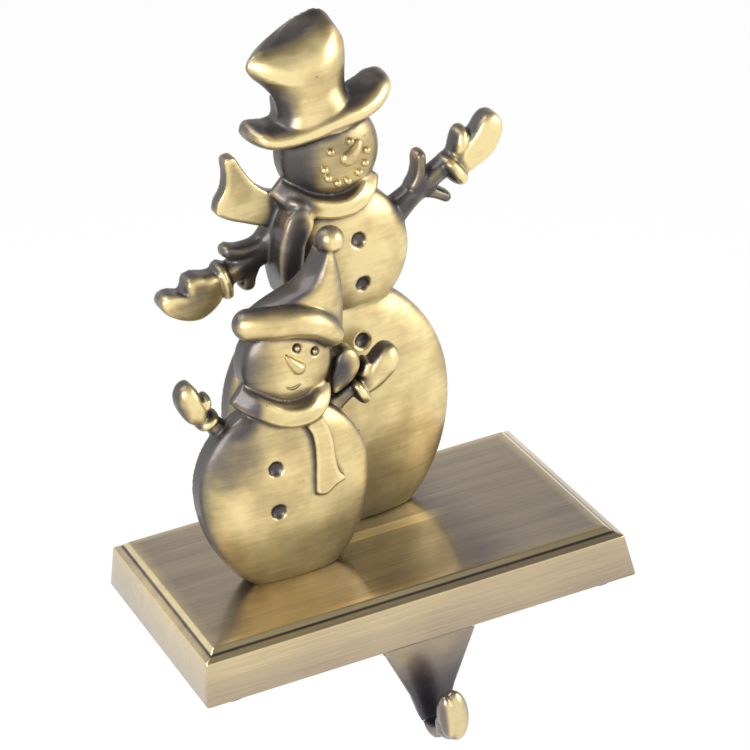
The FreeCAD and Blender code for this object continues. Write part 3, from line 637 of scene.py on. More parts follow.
def rounded(points, radius, steps=4):
    """A chain of points whose inner corners are replaced by small quadratic arcs of about the given
    radius."""
    points = np.asarray(points, float)
    result = [points[:1]]
    t = np.linspace(0, 1, steps)[:, None]
    for before, corner, after in zip(points[:-2], points[1:-1], points[2:]):
        start = corner + (before - corner) * min(0.45, radius / np.linalg.norm(before - corner))
        end = corner + (after - corner) * min(0.45, radius / np.linalg.norm(after - corner))
        result.append((1 - t) ** 2 * start + 2 * t * (1 - t) * corner + t**2 * end)
    result.append(points[-1:])
    return np.vstack(result)


def rectangle_ring(half_x, half_y, corner, z, steps=6, along=24):
    """A rectangle's outline with round corners: four quarter circles, with even points on each straight
    run."""
    angle = np.arange(4)[:, None] * math.pi / 2 + np.linspace(0, math.pi / 2, steps)
    middles = np.array([[1, 1], [-1, 1], [-1, -1], [1, -1]]) * (half_x - corner, half_y - corner)
    arcs = middles[:, None] + corner * np.stack([np.cos(angle), np.sin(angle)], axis=-1)
    share = np.linspace(0, 1, along + 2)[1:-1, None]
    goals = np.roll(arcs[:, :1], -1, axis=0)
    runs = arcs[:, -1:] + (goals - arcs[:, -1:]) * share
    ring = np.concatenate([arcs, runs], axis=1).reshape(-1, 2)
    return np.column_stack([ring, np.full(len(ring), z)])


def base_rings(sizes):
    """The base's skin as one profile carried round a rectangle: up the inside wall, round the foot, up the
    drafted side, over the ledge and the chamfer to the panel. Each row is an inset and a height."""
    half = (BASE_HIGH - BASE_LOW) / 2
    side_top = side_top_of(sizes)
    ledge = sizes.side_draft + sizes.ledge_width
    panel = ledge + sizes.chamfer
    # the painted shade line along the chamfer's foot starts here
    dark = 0.8
    profile = np.array([
        (sizes.side_draft + sizes.wall, PANEL_TOP - sizes.roof), (sizes.wall, BASE_BOTTOM),
        (0.0, BASE_BOTTOM), (sizes.side_draft, side_top),
        (ledge - dark, side_top + sizes.ledge_rise * (1 - dark / sizes.ledge_width)),
        (ledge, side_top + sizes.ledge_rise), (panel, PANEL_TOP), (panel + 3.0, PANEL_TOP)])
    # the panel's own rings, which carry the attributes over it
    inner = np.arange(panel + 7.0, half[1] - 0.5, 4.0)
    rows = np.vstack([rounded(profile, sizes.edge_radius),
                      np.column_stack([inner, np.full(len(inner), PANEL_TOP)])])
    return np.array([rectangle_ring(half[0] - inset, half[1] - inset, max(0.9 - inset * 0.1, 0.3), z)
                     for inset, z in rows])


def side_top_of(sizes):
    """The height at which the drafted side meets the ledge."""
    return PANEL_TOP - sizes.ledge_rise - sizes.panel_rise


def inset_of(points):
    """How far each point lies inside the base's outline."""
    return np.minimum(BASE_HIGH[0] - np.abs(points[:, 0]), BASE_HIGH[1] - np.abs(points[:, 1]))


# the base's bosses, as the source has them
PAD_INSET, PAD_BOSS_RADIUS = 9.0, 8.0
HOOK_X, HOOK_SCREW_SPACING = 0.9, 16.0
HOOK_SCREW_INSET, HOOK_BOSS_RADIUS = 11.4, 5.0


def boss(x, y, radius, sizes):
    """A round boss from the foot up to the roof, kept inside the drafted sides."""
    roof = PANEL_TOP - sizes.roof
    points, faces = lathe([(0.1, BASE_BOTTOM), (radius - 0.3, BASE_BOTTOM), (radius, BASE_BOTTOM + 0.3),
                           (radius, roof + 0.5), (0.1, roof + 0.5)], (x, y, 0))
    climb = (points[:, 2:] - BASE_BOTTOM) / (PANEL_TOP - BASE_BOTTOM)
    reach = BASE_HIGH[:2] - 1.0 - sizes.side_draft * climb
    points[:, :2] = np.clip(points[:, :2], -reach, reach)
    return points, faces


class HOLDER_OT_base(bpy.types.Operator):
    """Makes the brushed base with its panel, ledge, hollow underside and bosses"""
    bl_idname = "holder.base"
    bl_label = "Base"

    def execute(self, context):
        sizes = in_millimetres(context)
        pad_x, pad_y = BASE_HIGH[:2] - PAD_INSET
        parts = [skin(base_rings(sizes), flat_ends=True)]
        parts += [boss(sx * pad_x, sy * pad_y, PAD_BOSS_RADIUS, sizes) for sx in (-1, 1) for sy in (-1, 1)]
        screw_y = BASE_LOW[1] + HOOK_SCREW_INSET
        parts += [boss(HOOK_X + side * HOOK_SCREW_SPACING / 2, screw_y, HOOK_BOSS_RADIUS, sizes)
                  for side in (-1, 1)]
        piece = build("brushed_base", parts)
        points = read_points(piece.data)
        # painted highlight on the chamfer, the ledge and the outer top edge
        keep_attribute(piece.data, "edge", highlight_of_base(points, sizes))
        # painted shade along the chamfer's foot, and darker round the figures' feet
        keep_attribute(piece.data, "patina_and_shade", patina_and_shade_of_base(points, sizes))
        finish = context.scene.holder_finish
        stops = between(finish.base_brass, BASE_STOPS, finish.base_oxide)
        dress(piece, base_brass("antique_brass_brushed", stops), "base_casting")
        return {"FINISHED"}


def highlight_of_base(points, sizes):
    """Painted highlight: 1 on the panel's chamfer and the outer top edge, and less on the ledge."""
    inset = inset_of(points)
    draft, foot, side_top = sizes.side_draft, sizes.side_draft + sizes.ledge_width, side_top_of(sizes)
    chamfer = ramp(inset, foot - 0.1, foot + 0.2) * (1 - ramp(inset, foot + 1.3, foot + 1.9))
    ledge = ramp(inset, draft, draft + 0.4) * (1 - ramp(inset, foot - 1.0, foot - 0.4))
    edge = (1 - ramp(np.abs(inset - draft), 0.15, 0.45)) * ramp(points[:, 2], side_top - 1.0, side_top)
    upper = ramp(points[:, 2], side_top - 1.2, side_top - 0.4)
    return np.maximum(np.maximum(chamfer, 0.75 * ledge) * upper, edge)


def patina_and_shade_of_base(points, sizes):
    """Painted shade along the foot of the panel's chamfer, and darker on the panel round the figures' feet."""
    inset = inset_of(points)
    foot, side_top = sizes.side_draft + sizes.ledge_width, side_top_of(sizes)
    # painted shade: a dark line at the chamfer's foot
    line = ramp(inset, foot - 0.9, foot - 0.3) * (1 - ramp(inset, foot - 0.1, foot + 0.2))
    feet = (1 - ramp(np.abs(points[:, 0] - 4.0), 8.0, 34.0)) * (points[:, 2] > PANEL_TOP - 0.2)
    return np.maximum(0.8 * line * ramp(points[:, 2], side_top - 0.5, side_top), 0.7 * feet)


# The hook

HOOK_VOXEL = 0.32
FLANGE_HALF_X, FLANGE_HALF_Y, FLANGE_CORNER = 13.4, 9.4, 0.8
# from the base's front face back to the flange's middle
FLANGE_MIDDLE = 9.5


class HOLDER_OT_hook(bpy.types.Operator):
    """Makes the hook: flange, tapering plate, round throat and spoon-shaped tip"""
    bl_idname = "holder.hook"
    bl_label = "Hook"

    def execute(self, context):
        piece = build("cast_hook", hook_parts(in_millimetres(context)))
        cast_together(piece, HOOK_VOXEL, smooth_rounds=5)
        age_and_shade(piece, [], hollow_reach=30)
        patina_of_hook(piece.data)
        finish = context.scene.holder_finish
        stops = between(finish.hook_brass, HOOK_STOPS, finish.hook_oxide)
        material = figure_brass("antique_brass_hook", stops, rough_low=0.22, rough_high=0.3, brushed=0.03,
                                clouded=0.08)
        dress(piece, material, "hook")
        return {"FINISHED"}


def patina_of_hook(mesh):
    """The plate darkens from its root down to the turn, and has no rubbed edges."""
    points, normals = read_points(mesh), read_normals(mesh)
    plate = ramp(points[:, 1], BASE_LOW[1] - 9.0, BASE_LOW[1] - 4.0)
    side = ramp(np.abs(normals[:, 0]), 0.4, 0.8)
    dark = (0.38 + 0.56 * ramp(-points[:, 2], -2.0, 19.0)) * (1 - side) + 0.58 * side
    for name, goal, most in (("patina_and_shade", dark, 0.62), ("edge", 0.0, 0.3)):
        values = np.minimum(kept_attribute(mesh, name), most) * (1 - plate) + goal * plate
        keep_attribute(mesh, name, values)


def hook_parts(sizes):
    """The hook's strip: sections square to a J-shaped run, whose width narrows from the root to the turn
    and swells into the spoon-shaped tip. A section has a y, a z, its turn, its width, its depth and the
    power of its outline, which changes from a flat bar to a lens."""
    front, thick, tip = BASE_LOW[1], sizes.strip, sizes.tip_width
    low, high = (np.array(corner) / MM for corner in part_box("hook"))
    centre_x = (low[0] + high[0]) / 2
    middle = front + thick / 2
    radius = (sizes.throat + thick) / 2
    turn_z = BASE_BOTTOM - sizes.drop
    start_z = BASE_BOTTOM - 0.8
    tip_depth = 5.4

    def sections(count, *columns):
        # rows of y, z, turn, width, depth and power
        return np.column_stack([np.broadcast_to(column, count) for column in columns])

    share = np.linspace(0, 1, 16)[:-1]
    taper = np.interp(share, [0, 0.5, 0.8, 1], [sizes.root_width, 18.4, 13.2, 10.8])
    plate_rows = sections(15, middle, start_z - share * (start_z - turn_z), 0.0, taper, thick, 0.5)
    angle = np.linspace(0, math.pi, 29)
    wide = np.interp(angle, [0, 0.8, 1.6, 2.4, math.pi], [10.8, 8.8, 7.8, 7.6, 7.9])
    deep_turn = np.interp(angle, [0, 0.9, 1.9, math.pi], [thick, thick + 0.6, 5.2, tip_depth])
    # the strip thickens towards its inner side
    reach = radius + (thick - deep_turn) / 2
    turn_rows = sections(29, middle - radius + reach * np.cos(angle), turn_z - reach * np.sin(angle), angle,
                         wide, deep_turn, np.interp(angle, [0, math.pi], [0.5, 0.95]))
    rise = np.linspace(0.04, 1, 18)
    round_tip = np.maximum(np.sqrt(1 - np.clip((rise - 0.25) / 0.75, 0, 1) ** 2), 0.05)
    tip_rows = sections(18, middle - radius - reach[-1], turn_z + rise * sizes.tip_rise, math.pi,
                        (tip - 0.1) * round_tip, tip_depth * round_tip ** 0.7, 0.95)
    y, z, turn, width, depth, power = np.vstack([plate_rows, turn_rows, tip_rows]).T[:, :, None]
    phi = np.linspace(0, 2 * math.pi, 40, endpoint=False)
    across = np.sign(np.cos(phi)) * np.abs(np.cos(phi)) ** power
    deep = np.sign(np.sin(phi)) * np.abs(np.sin(phi)) ** power * depth / 2
    # the strip leans a little to the left on its way down
    lean = np.interp(z, [turn_z, start_z], [-0.6, 0.3]) * (turn < math.pi)
    strip = skin(np.stack([centre_x + lean + width / 2 * across, y - np.cos(turn) * deep,
                           z - np.sin(turn) * deep], axis=-1))
    flange = skin([rectangle_ring(FLANGE_HALF_X - inset, FLANGE_HALF_Y - inset, FLANGE_CORNER,
                                  BASE_BOTTOM + height, along=4)
                   for inset, height in ((0.3, -1.6), (0.0, -1.3), (0.0, 0.2))], flat_ends=True)
    # the spoon is an egg with a narrower one at its left, so a soft crease runs down between them, and a heel
    spoon_y = middle - 2 * radius
    eggs = [sphere((centre_x + x, spoon_y + y, turn_z + z), 1.0, half_axes, 48)
            for x, y, z, half_axes in ((0.4, -0.3, 1.9, (tip / 2 - 0.4, 2.9, 7.7)),
                                       (-1.9, -0.4, 2.4, (2.4, 2.95, 6.6)),
                                       (-0.1, 2.2, -1.6, (4.3, 3.8, 4.8)))]
    return [strip] + eggs + [moved(flange, centre_x, front + FLANGE_MIDDLE, 0)]


# The snowmen. Places are an x and a z from the foot's middle on the panel, and a y in the shared frame. The
# wall is the height of a figure's straight edge over its back, and the crown the rise of its lobes over that.

LARGE = {"x": 1.2, "wall": 5.0, "crown": 7.0}
SMALL = {"x": -25.0, "wall": 5.5, "crown": 5.5}
LARGE_RIM = LARGE_BACK - LARGE["wall"]
SMALL_RIM = SMALL_BACK - SMALL["wall"]
# x, z and radius, or for a body x, z, half width, and its reach down and up
LARGE_HEAD = (5.4, 109.5, 14.1)
LARGE_CHEST = (5.2, 79.7, 20.0)
LARGE_BODY = (0.0, 35.7, 32.8, 42.7, 36.0)
SMALL_HEAD = (5.5, 62.5, 12.8)
SMALL_BODY = (0.9, 28.0, 24.4, 32.5, 24.0)
SMALL_EYES = ((7.4, 67.9), (12.4, 65.4))
# for a bar whose ends lie inside other parts
OPEN = (False, False)


def seated(parts, x):
    """The parts moved onto the panel, with the foot's middle at x."""
    return [moved(part, x, 0, PANEL_TOP) for part in parts]


def large_parts():
    """Body, chest, head, scarf, hat and arms."""
    back, rim = LARGE_BACK, LARGE_RIM
    parts = [lobe(egg(LARGE_BODY[:2], *LARGE_BODY[2:]), LARGE_BODY[:2], back, rim, LARGE["crown"],
                  floor=-0.2),
             lobe(disc(LARGE_CHEST), LARGE_CHEST[:2], back, rim, 6.3),
             lobe(disc(LARGE_HEAD), LARGE_HEAD[:2], back, rim, LARGE["crown"])]
    # the scarf: collar, knot, flying tail and hanging tail
    parts.append(bar([(-10.6, 103.4, 2.6, 11.0), (-8.4, 101.0, 3.0, 7.4), (-3.2, 97.4, 3.1, 4.4),
                      (1.4, 95.9, 3.0, 3.7), (5.8, 95.4, 3.0, 3.5), (10.4, 96.4, 3.0, 4.3),
                      (14.2, 98.8, 3.0, 6.6), (16.2, 101.4, 2.8, 9.6)], 13.5, 5.0, OPEN, 60, 44))
    parts.append(bar([(-11.0, 99.4, 2.0, 8.0), (-7.2, 98.6, 3.0, 4.6), (-3.6, 95.6, 2.0, 4.0)], back, 3.0))
    flying = spline([(-8.0, 99.6), (-12.5, 102.1), (-15.2, 104.4), (-17.4, 107.4), (-19.3, 111.0),
                     (-21.4, 114.4), (-23.4, 114.0), (-23.9, 109.4), (-24.8, 105.6), (-27.2, 102.0),
                     (-27.8, 99.6), (-25.6, 97.6), (-20.6, 95.1), (-15.6, 93.0), (-10.6, 92.4),
                     (-8.0, 95.4)], 150, closed=True)
    parts.append(plate(flying, back, rim, 0.5))
    tail = spline([(-3.6, 94.5), (-6.6, 88.6), (-8.2, 81.6), (-10.6, 74.6), (-13.4, 72.4), (-14.6, 77.0),
                   (-14.8, 84.4), (-13.3, 91.2), (-9.6, 97.4), (-6.0, 98.6)], 120, closed=True)
    parts.append(lobe(tail, (-10.0, 86.5), back, 5.4, 2.4, 3.2))
    parts += large_hat(back)
    parts += large_arms(back)
    return seated(parts, LARGE["x"])


def large_hat(back):
    """Crown and brim. The crown's back stands higher than its front, so its round top slopes forwards. The
    brim is a bar along a saddle whose ends curl up, with a skirt that eases it into the crown."""
    far = [(-6.6, 121.0), (-6.6, 125.0), (-7.4, 128.5), (-10.0, 131.8), (-12.6, 135.2), (-12.7, 137.4),
           (-10.1, 140.4), (-4.0, 144.4), (0.1, 146.5), (4.1, 147.8), (7.2, 148.2), (9.9, 147.2),
           (11.6, 144.2), (12.0, 138.0), (11.9, 131.0), (11.7, 124.0), (11.6, 120.0)]
    near = [(-8.0, 120.5), (-8.0, 124.8), (-9.0, 128.8), (-11.4, 132.4), (-14.2, 135.6), (-15.2, 138.4),
            (-13.4, 140.6), (-8.6, 141.8), (-3.6, 142.4), (1.2, 143.6), (6.2, 144.6), (10.4, 143.8),
            (12.6, 140.6), (12.8, 135.2), (12.0, 129.2), (11.8, 123.2), (11.6, 119.4)]
    crown = block(far, near, back, 11.2, 6.1)
    brim = bar([(-16.0, 121.9, 1.8, 11.0), (-14.8, 119.9, 2.9, 6.6), (-11.8, 118.1, 3.5, 4.7),
                (-8.0, 117.8, 3.9, 3.8), (-3.4, 118.2, 4.3, 3.3), (2.4, 119.2, 4.6, 3.1),
                (8.6, 120.2, 4.7, 3.3), (14.6, 121.1, 4.6, 4.0), (19.0, 122.7, 4.6, 5.4),
                (22.3, 125.2, 4.0, 8.0), (23.9, 127.4, 2.8, 10.8)], back, 2.2, count=72, around=40)
    skirt = bar([(2.2, 117.0, 11.5, 3.6), (2.2, 120.0, 11.3, 4.0), (2.2, 122.8, 10.6, 4.6),
                 (1.8, 125.4, 9.8, 5.2), (1.2, 128.6, 9.2, 5.6)], back, 3.0, OPEN, 24, 44)
    return [crown, brim, skirt]


def bars(rows, back):
    """Bars on one back plane. A row holds a bar's stations, the power of its outline, and whether its ends
    are round, which is left out where both are."""
    return [bar(stations, back, *rest) for stations, *rest in rows]


def large_arms(back):
    """Twigs, cuffs, mittens and a thumb: bars and lobes on the back plane."""
    parts = bars([
        # left arm, two side twigs and cuff
        ([(-6.0, 92.0, 8.0, 9.0), (-12.0, 87.6, 5.2, 10.6), (-17.6, 84.2, 3.6, 11.5),
          (-22.6, 82.2, 3.2, 11.5), (-28.5, 80.0, 3.2, 11.5)], 3.0, OPEN),
        ([(-12.6, 88.0, 3.4, 11.2), (-18.0, 86.6, 2.4, 11.6), (-22.4, 86.6, 2.1, 11.8),
          (-27.4, 88.4, 1.9, 12.0)], 3.2),
        ([(-18.8, 84.0, 4.0, 11.6), (-20.6, 79.6, 2.6, 11.8), (-21.4, 74.8, 2.2, 12.0)], 3.2),
        ([(-28.9, 85.2, 1.9, 11.0), (-27.9, 80.0, 2.2, 9.0), (-27.2, 74.4, 2.0, 10.6)], 2.4),
        # right arm, two side twigs, cuff and thumb
        ([(15.0, 82.5, 6.4, 9.0), (22.4, 85.8, 4.2, 10.6), (27.6, 89.0, 3.2, 11.2),
          (32.5, 92.0, 3.0, 11.4), (39.0, 95.4, 2.9, 11.4), (46.0, 98.8, 3.4, 11.8)], 3.0, OPEN),
        ([(28.4, 89.8, 3.0, 11.4), (31.0, 95.0, 2.0, 11.6), (32.2, 102.2, 1.8, 12.0)], 3.2),
        ([(30.6, 91.2, 2.8, 11.6), (35.0, 89.0, 1.9, 11.8), (39.8, 85.8, 1.6, 12.0)], 3.2),
        ([(38.4, 98.6, 2.1, 10.6), (41.2, 94.2, 2.7, 8.8), (44.0, 89.7, 2.3, 10.2)], 2.4),
        ([(42.8, 97.0, 2.6, 11.6), (43.8, 101.4, 2.5, 10.6), (45.4, 105.8, 2.1, 11.8)], 2.4)], back)
    left = spline([(-29.4, 75.6), (-32.6, 72.8), (-36.0, 71.4), (-39.6, 71.8), (-43.4, 73.6), (-46.0, 76.0),
                   (-46.9, 78.8), (-45.6, 80.5), (-43.0, 80.8), (-39.8, 80.2), (-39.4, 81.6), (-38.6, 83.6),
                   (-36.4, 84.2), (-33.0, 83.5), (-29.6, 82.9)], 150, closed=True)
    right = spline([(44.4, 93.2), (48.2, 94.5), (52.0, 96.6), (54.7, 99.9), (56.1, 103.0), (55.8, 106.3),
                    (54.0, 108.2), (51.8, 108.3), (49.8, 106.9), (47.8, 104.4), (45.0, 101.4), (42.6,
                                                                                                97.4)],
                   130, closed=True)
    return parts + [lobe(left, (-36.6, 77.2), back, 13.4, 3.6, 4.0),
                    lobe(right, (49.4, 100.6), back, 13.4, 3.6, 4.0)]


def surface_y(x, z, place, rim, rise):
    """The y of a round lobe's face at a point of it. The place is the lobe's middle x and z and its
    radius."""
    share = ((x - place[0]) ** 2 + (z - place[1]) ** 2) / place[2] ** 2
    return rim - rise * math.sqrt(max(0.0, 1 - share))


def dish(piece, places, radius, depth, dark_radius, dark):
    """Presses round, dished recesses into the front of a piece, by moving its points back along y, and
    raises the patina inside them."""
    mesh = piece.data
    points, normals = read_points(mesh), read_normals(mesh)
    for x, z in places:
        far = np.hypot(points[:, 0] - x, points[:, 2] - z) / radius
        hit = (far < 1) & (normals[:, 1] < -0.2)
        points[hit, 1] += depth * (1 - far[hit] ** 2) ** 0.5
    mesh.vertices.foreach_set("co", (points * MM).astype(np.float32).ravel())
    mesh.update()
    points, normals = read_points(mesh), read_normals(mesh)
    patina_and_shade = kept_attribute(mesh, "patina_and_shade")
    for x, z in places:
        far = np.hypot(points[:, 0] - x, points[:, 2] - z) / dark_radius
        patina_and_shade = np.maximum(patina_and_shade, dark * (1 - ramp(far, 0.7, 1.0)) * (normals[:, 1] < 0.2))
    keep_attribute(mesh, "patina_and_shade", patina_and_shade)


def add_features(piece, parts, patina_and_shade):
    """Joins small crisp parts onto a cast piece, each point with the given share of patina."""
    extra = build(piece.name + "_features", parts)
    keep_attribute(extra.data, "patina_and_shade", np.full(len(extra.data.vertices), patina_and_shade))
    keep_attribute(extra.data, "edge", np.zeros(len(extra.data.vertices)))
    with bpy.context.temp_override(active_object=piece, selected_editable_objects=[piece, extra]):
        bpy.ops.object.join()


# where the oxide was left or rubbed off by hand, and where painted shade and painted highlights go: place,
# half axes, and what it adds
LARGE_OXIDE_AND_PAINTED_LIGHT_SPOTS = [
    (-10, 8, 86, 8, 20, 17, 1.0), (-17, 12, 84.5, 10, 20, 12, 1.2), (-24, 14, 88.5, 5.5, 20, 4, 1.0),
    (-21.4, 14, 75.5, 4, 20, 5, 1.0), (29, 12, 91, 10.5, 20, 12, 1.1), (32, 14, 101, 4, 20, 6, 1.0),
    (38, 14, 86.5, 6, 20, 4, 1.0), (-11, 10, 124, 7, 8, 6, 0.7), (-7, 8, 100, 8, 20, 6, 0.8),
    (-1.5, 17, 142.5, 14.5, 6.8, 12, 1.1), (17, 13, 128, 9, 9, 6, 0.7), (4, 8, 109, 20, 20, 11, 0.22),
    # (-7, 8, 108) is painted shade on the face's left side; the negative spots at (-8, 6, 138) and (3, 5,
    # 141) paint a highlight on the crown's front rim
    (-7, 8, 108, 10, 20, 13, 0.3), (-20, 12, 108, 6, 20, 10, 0.25), (-8, 6, 138, 9, 5, 5, -0.3),
    (3, 5, 141, 10, 5, 5, -0.3), (-38, 12, 77, 10, 20, 9, 0.35), (36, 14, 94.5, 6, 20, 5, 0.9),
    # painted shade on the chest's left side
    (-5, 8, 79, 11, 20, 16, 0.25)]
SMALL_OXIDE_AND_PAINTED_LIGHT_SPOTS = [
    (-10, -8, 52, 8, 12, 9, 0.9), (2, -6, 85, 12, 9, 8, 0.5), (8, -6, 80, 8, 9, 7, 0.4),
    # (-13, -8, 41) is a painted shadow under the collar, on the body's upper left
    (20, -6, 56, 5, 12, 8, 0.7), (22, -6, 47, 4, 12, 5, 0.6), (-13, -8, 41, 12, 12, 15, 0.5),
    # (-2, -10, 60) is painted shade on the face's left side; the negative spots after it paint a highlight on
    # top of the cap's roll
    (-2, -10, 60, 7, 12, 10, 0.15), (3, -12, 77.5, 14, 5, 5, -0.5), (-6, -10, 77, 6, 6, 5, -0.4),
    (-8, -11, 55, 6, 8, 5, 0.6)]

# middles of the dished buttons, x and z
LARGE_BUTTONS = ((9.0, 84.5), (9.0, 71.4), (6.9, 54.8))
SMALL_BUTTONS = ((-2.6, 34.8), (-3.3, 22.1))
BUTTON_RADIUS, BUTTON_DEPTH = 2.25, 1.6

# the small figure's mesh is finer by this share
SMALL_GRAIN = 0.73


def cast_figure(name, parts, place_x, voxel, oxide_and_painted_light_spots, buttons):
    """One casting with its patina, its painted shade and highlights, and its dished buttons."""
    piece = build(name, parts)
    cast_together(piece, voxel, smooth_rounds=4)
    age_and_shade(piece, oxide_and_painted_light_spots, place_x)
    dish(piece, on_figure(buttons, place_x), BUTTON_RADIUS, BUTTON_DEPTH, BUTTON_RADIUS + 0.15, 0.9)
    return piece


def on_figure(places, place_x):
    """Places on a figure as x and z in the shared frame."""
    return [(place_x + x, PANEL_TOP + z) for x, z in places]


def dress_figure(context, piece, material_name, node):
    """Gives a figure its brass in the user's colours."""
    finish = context.scene.holder_finish
    stops = between(finish.figure_brass, FIGURE_STOPS, finish.figure_oxide)
    dress(piece, figure_brass(material_name, stops), node)


class HOLDER_OT_large_snowman(bpy.types.Operator):
    """Makes the tall snowman with its top hat, scarf and twig arms"""
    bl_idname = "holder.large_snowman"
    bl_label = "Large snowman"

    def execute(self, context):
        piece = cast_figure("large_figure", large_parts(), LARGE["x"], in_millimetres(context).voxel,
                            LARGE_OXIDE_AND_PAINTED_LIGHT_SPOTS, LARGE_BUTTONS)
        add_features(piece, large_face(), patina_and_shade=0.1)
        dress_figure(context, piece, "antique_brass_cast", "large_snowman")
        return {"FINISHED"}


def large_face():
    """Coal eyes, a smile of small beads and a carrot nose."""
    rise = LARGE["crown"]
    parts = []
    for x, z in ((3.4, 111.9), (9.3, 113.4), (1.2, 107.3), (2.1, 104.6), (4.6, 102.5), (7.6, 102.4),
                 (11.1, 103.8), (13.2, 106.0), (14.0, 109.4)):
        parts.append(sphere((x, surface_y(x, z, LARGE_HEAD, LARGE_RIM, rise) - 0.3, z), 1.15))
    front = LARGE_RIM - rise
    nose = [(5.9, front + 0.2, 108.4), (8.0, front - 0.1, 108.9), (10.2, front + 0.1, 110.4),
            (11.4, front + 0.4, 112.0), (12.1, front + 0.8, 113.4)]
    parts.append(tube(nose, [2.0, 2.0, 1.7, 1.3, 0.9], depth=0.75))
    return seated(parts, LARGE["x"])


def small_parts():
    """Body, head, scarf, cap and arms."""
    back, rim = SMALL_BACK, SMALL_RIM
    front = rim - SMALL["crown"]
    parts = [lobe(egg(SMALL_BODY[:2], *SMALL_BODY[2:]), SMALL_BODY[:2], back, rim, SMALL["crown"],
                  floor=-0.2),
             lobe(disc(SMALL_HEAD), SMALL_HEAD[:2], back, rim, SMALL["crown"])]
    # the scarf: collar, hanging tail and the short end behind the head
    parts.append(bar([(-9.4, 57.6, 3.3, -9.4), (-7.0, 55.2, 3.5, -12.4), (-3.2, 52.5, 3.5, -14.8),
                      (0.6, 50.2, 3.6, -15.8), (5.6, 49.0, 3.6, -16.2), (10.0, 49.8, 3.5, -15.8),
                      (13.0, 52.4, 3.2, -13.6), (14.4, 55.2, 2.8, -10.4)], -6.6, 4.0, OPEN, 60, 44))
    tail = spline([(7.0, 47.0), (8.4, 42.0), (8.4, 34.0), (7.8, 28.6), (7.9, 24.6), (10.4, 24.0),
                   (13.4, 25.8), (16.3, 27.0), (14.9, 29.2), (14.1, 34.0), (13.9, 39.6), (12.6, 45.0),
                   (11.0, 48.0)], 120, closed=True)
    parts.append(plate(tail, back, front - 1.1, 0.5))
    leaf = spline([(20.6, 60.0), (22.6, 61.2), (24.6, 60.6), (26.4, 58.0), (26.4, 55.1), (24.2, 52.0),
                   (21.2, 50.0), (18.2, 49.0), (17.4, 52.0), (18.6, 56.0)], 90, closed=True)
    parts.append(lobe(leaf, (21.6, 55.6), back, back - 4.5, 2.0, 2.4))
    # the cap: cone, roll and pompom
    parts.append(rails([(-4.0, 72.0, 23.6, 64.0, -12.0), (-3.2, 76.6, 24.2, 70.0, -12.6),
                        (2.0, 79.6, 24.6, 75.0, -12.8), (7.0, 81.4, 24.6, 79.4, -12.4),
                        (11.5, 83.0, 24.4, 83.2, -11.8), (14.8, 85.4, 23.9, 86.2, -11.2),
                        (17.0, 88.4, 23.3, 88.8, -10.8), (18.6, 91.0, 22.6, 91.4, -10.4)], back, 2.3))
    parts.append(tube([(-8.4, -8.6, 76.8), (-5.4, -9.8, 77.0), (-1.0, -11.2, 76.8), (3.6, -11.9, 76.0),
                       (8.6, -12.1, 75.2), (13.4, -12.0, 73.2), (17.2, -11.2, 69.6), (20.2, -10.0, 65.6)],
                      [3.8, 4.3, 4.5, 4.5, 4.5, 4.3, 3.8, 2.9], 64, 36))
    parts.append(sphere((21.9, -7.6, 93.5), 3.9))
    parts += small_arms(back)
    return seated(parts, SMALL["x"])


def small_arms(back):
    """Twigs, cuffs, mittens and thumbs: bars and lobes on the back plane."""
    parts = bars([
        # left arm, cuff and thumb
        ([(-11.0, 42.0, 4.4, -6.0), (-14.6, 47.2, 2.7, -6.4), (-17.8, 52.0, 2.4, -6.6)], 2.6),
        ([(-20.4, 48.9, 1.5, -7.4), (-17.2, 50.5, 1.8, -8.6), (-14.2, 51.9, 1.5, -7.4)], 2.4),
        ([(-18.0, 53.6, 1.7, -7.4), (-17.2, 56.0, 1.6, -8.0), (-17.0, 58.2, 1.3, -7.4)], 2.4),
        # right arm, cuff and thumb
        ([(15.0, 42.0, 4.4, -6.0), (20.6, 45.6, 2.7, -6.4), (26.0, 48.8, 2.3, -6.6)], 2.6),
        ([(24.4, 50.4, 1.7, -7.4), (26.3, 46.6, 2.2, -8.8), (28.2, 42.8, 1.7, -7.4)], 2.4),
        ([(26.8, 50.6, 1.6, -7.4), (28.4, 53.4, 1.5, -8.0), (29.4, 55.6, 1.2, -7.4)], 2.4)], back)
    left = spline([(-18.8, 50.2), (-22.0, 51.0), (-24.6, 55.0), (-25.2, 59.6), (-23.6, 62.3), (-21.3, 62.9),
                   (-19.6, 61.0), (-18.2, 57.4), (-17.2, 54.0)], 110, closed=True)
    right = spline([(27.6, 45.6), (26.8, 50.0), (29.0, 53.6), (31.6, 56.4), (34.6, 58.2), (37.2, 57.6),
                    (38.6, 54.8), (37.6, 51.6), (34.6, 48.6), (31.0, 46.4)], 110, closed=True)
    return parts + [lobe(left, (-21.0, 57.4), back, back - 2.6, 3.6, 2.5),
                    lobe(right, (32.6, 52.0), back, back - 2.6, 3.6, 2.5)]


def small_face():
    """A carrot nose; the eyes are small beads, each in its own ring."""
    rise = SMALL["crown"]
    front = SMALL_RIM - rise
    parts = [bar([(8.2, 60.6, 2.3, front - 1.2), (7.2, 62.2, 2.4, front - 1.8),
                  (5.6, 64.3, 1.9, front - 1.6), (4.3, 66.2, 1.1, front - 0.9),
                  (3.6, 67.2, 0.6, front - 0.3)], front + 1.6, 2.0)]
    for x, z in SMALL_EYES:
        parts.append(sphere((x, surface_y(x, z, SMALL_HEAD, SMALL_RIM, rise) + 0.1, z), 0.75))
    return seated(parts, SMALL["x"])


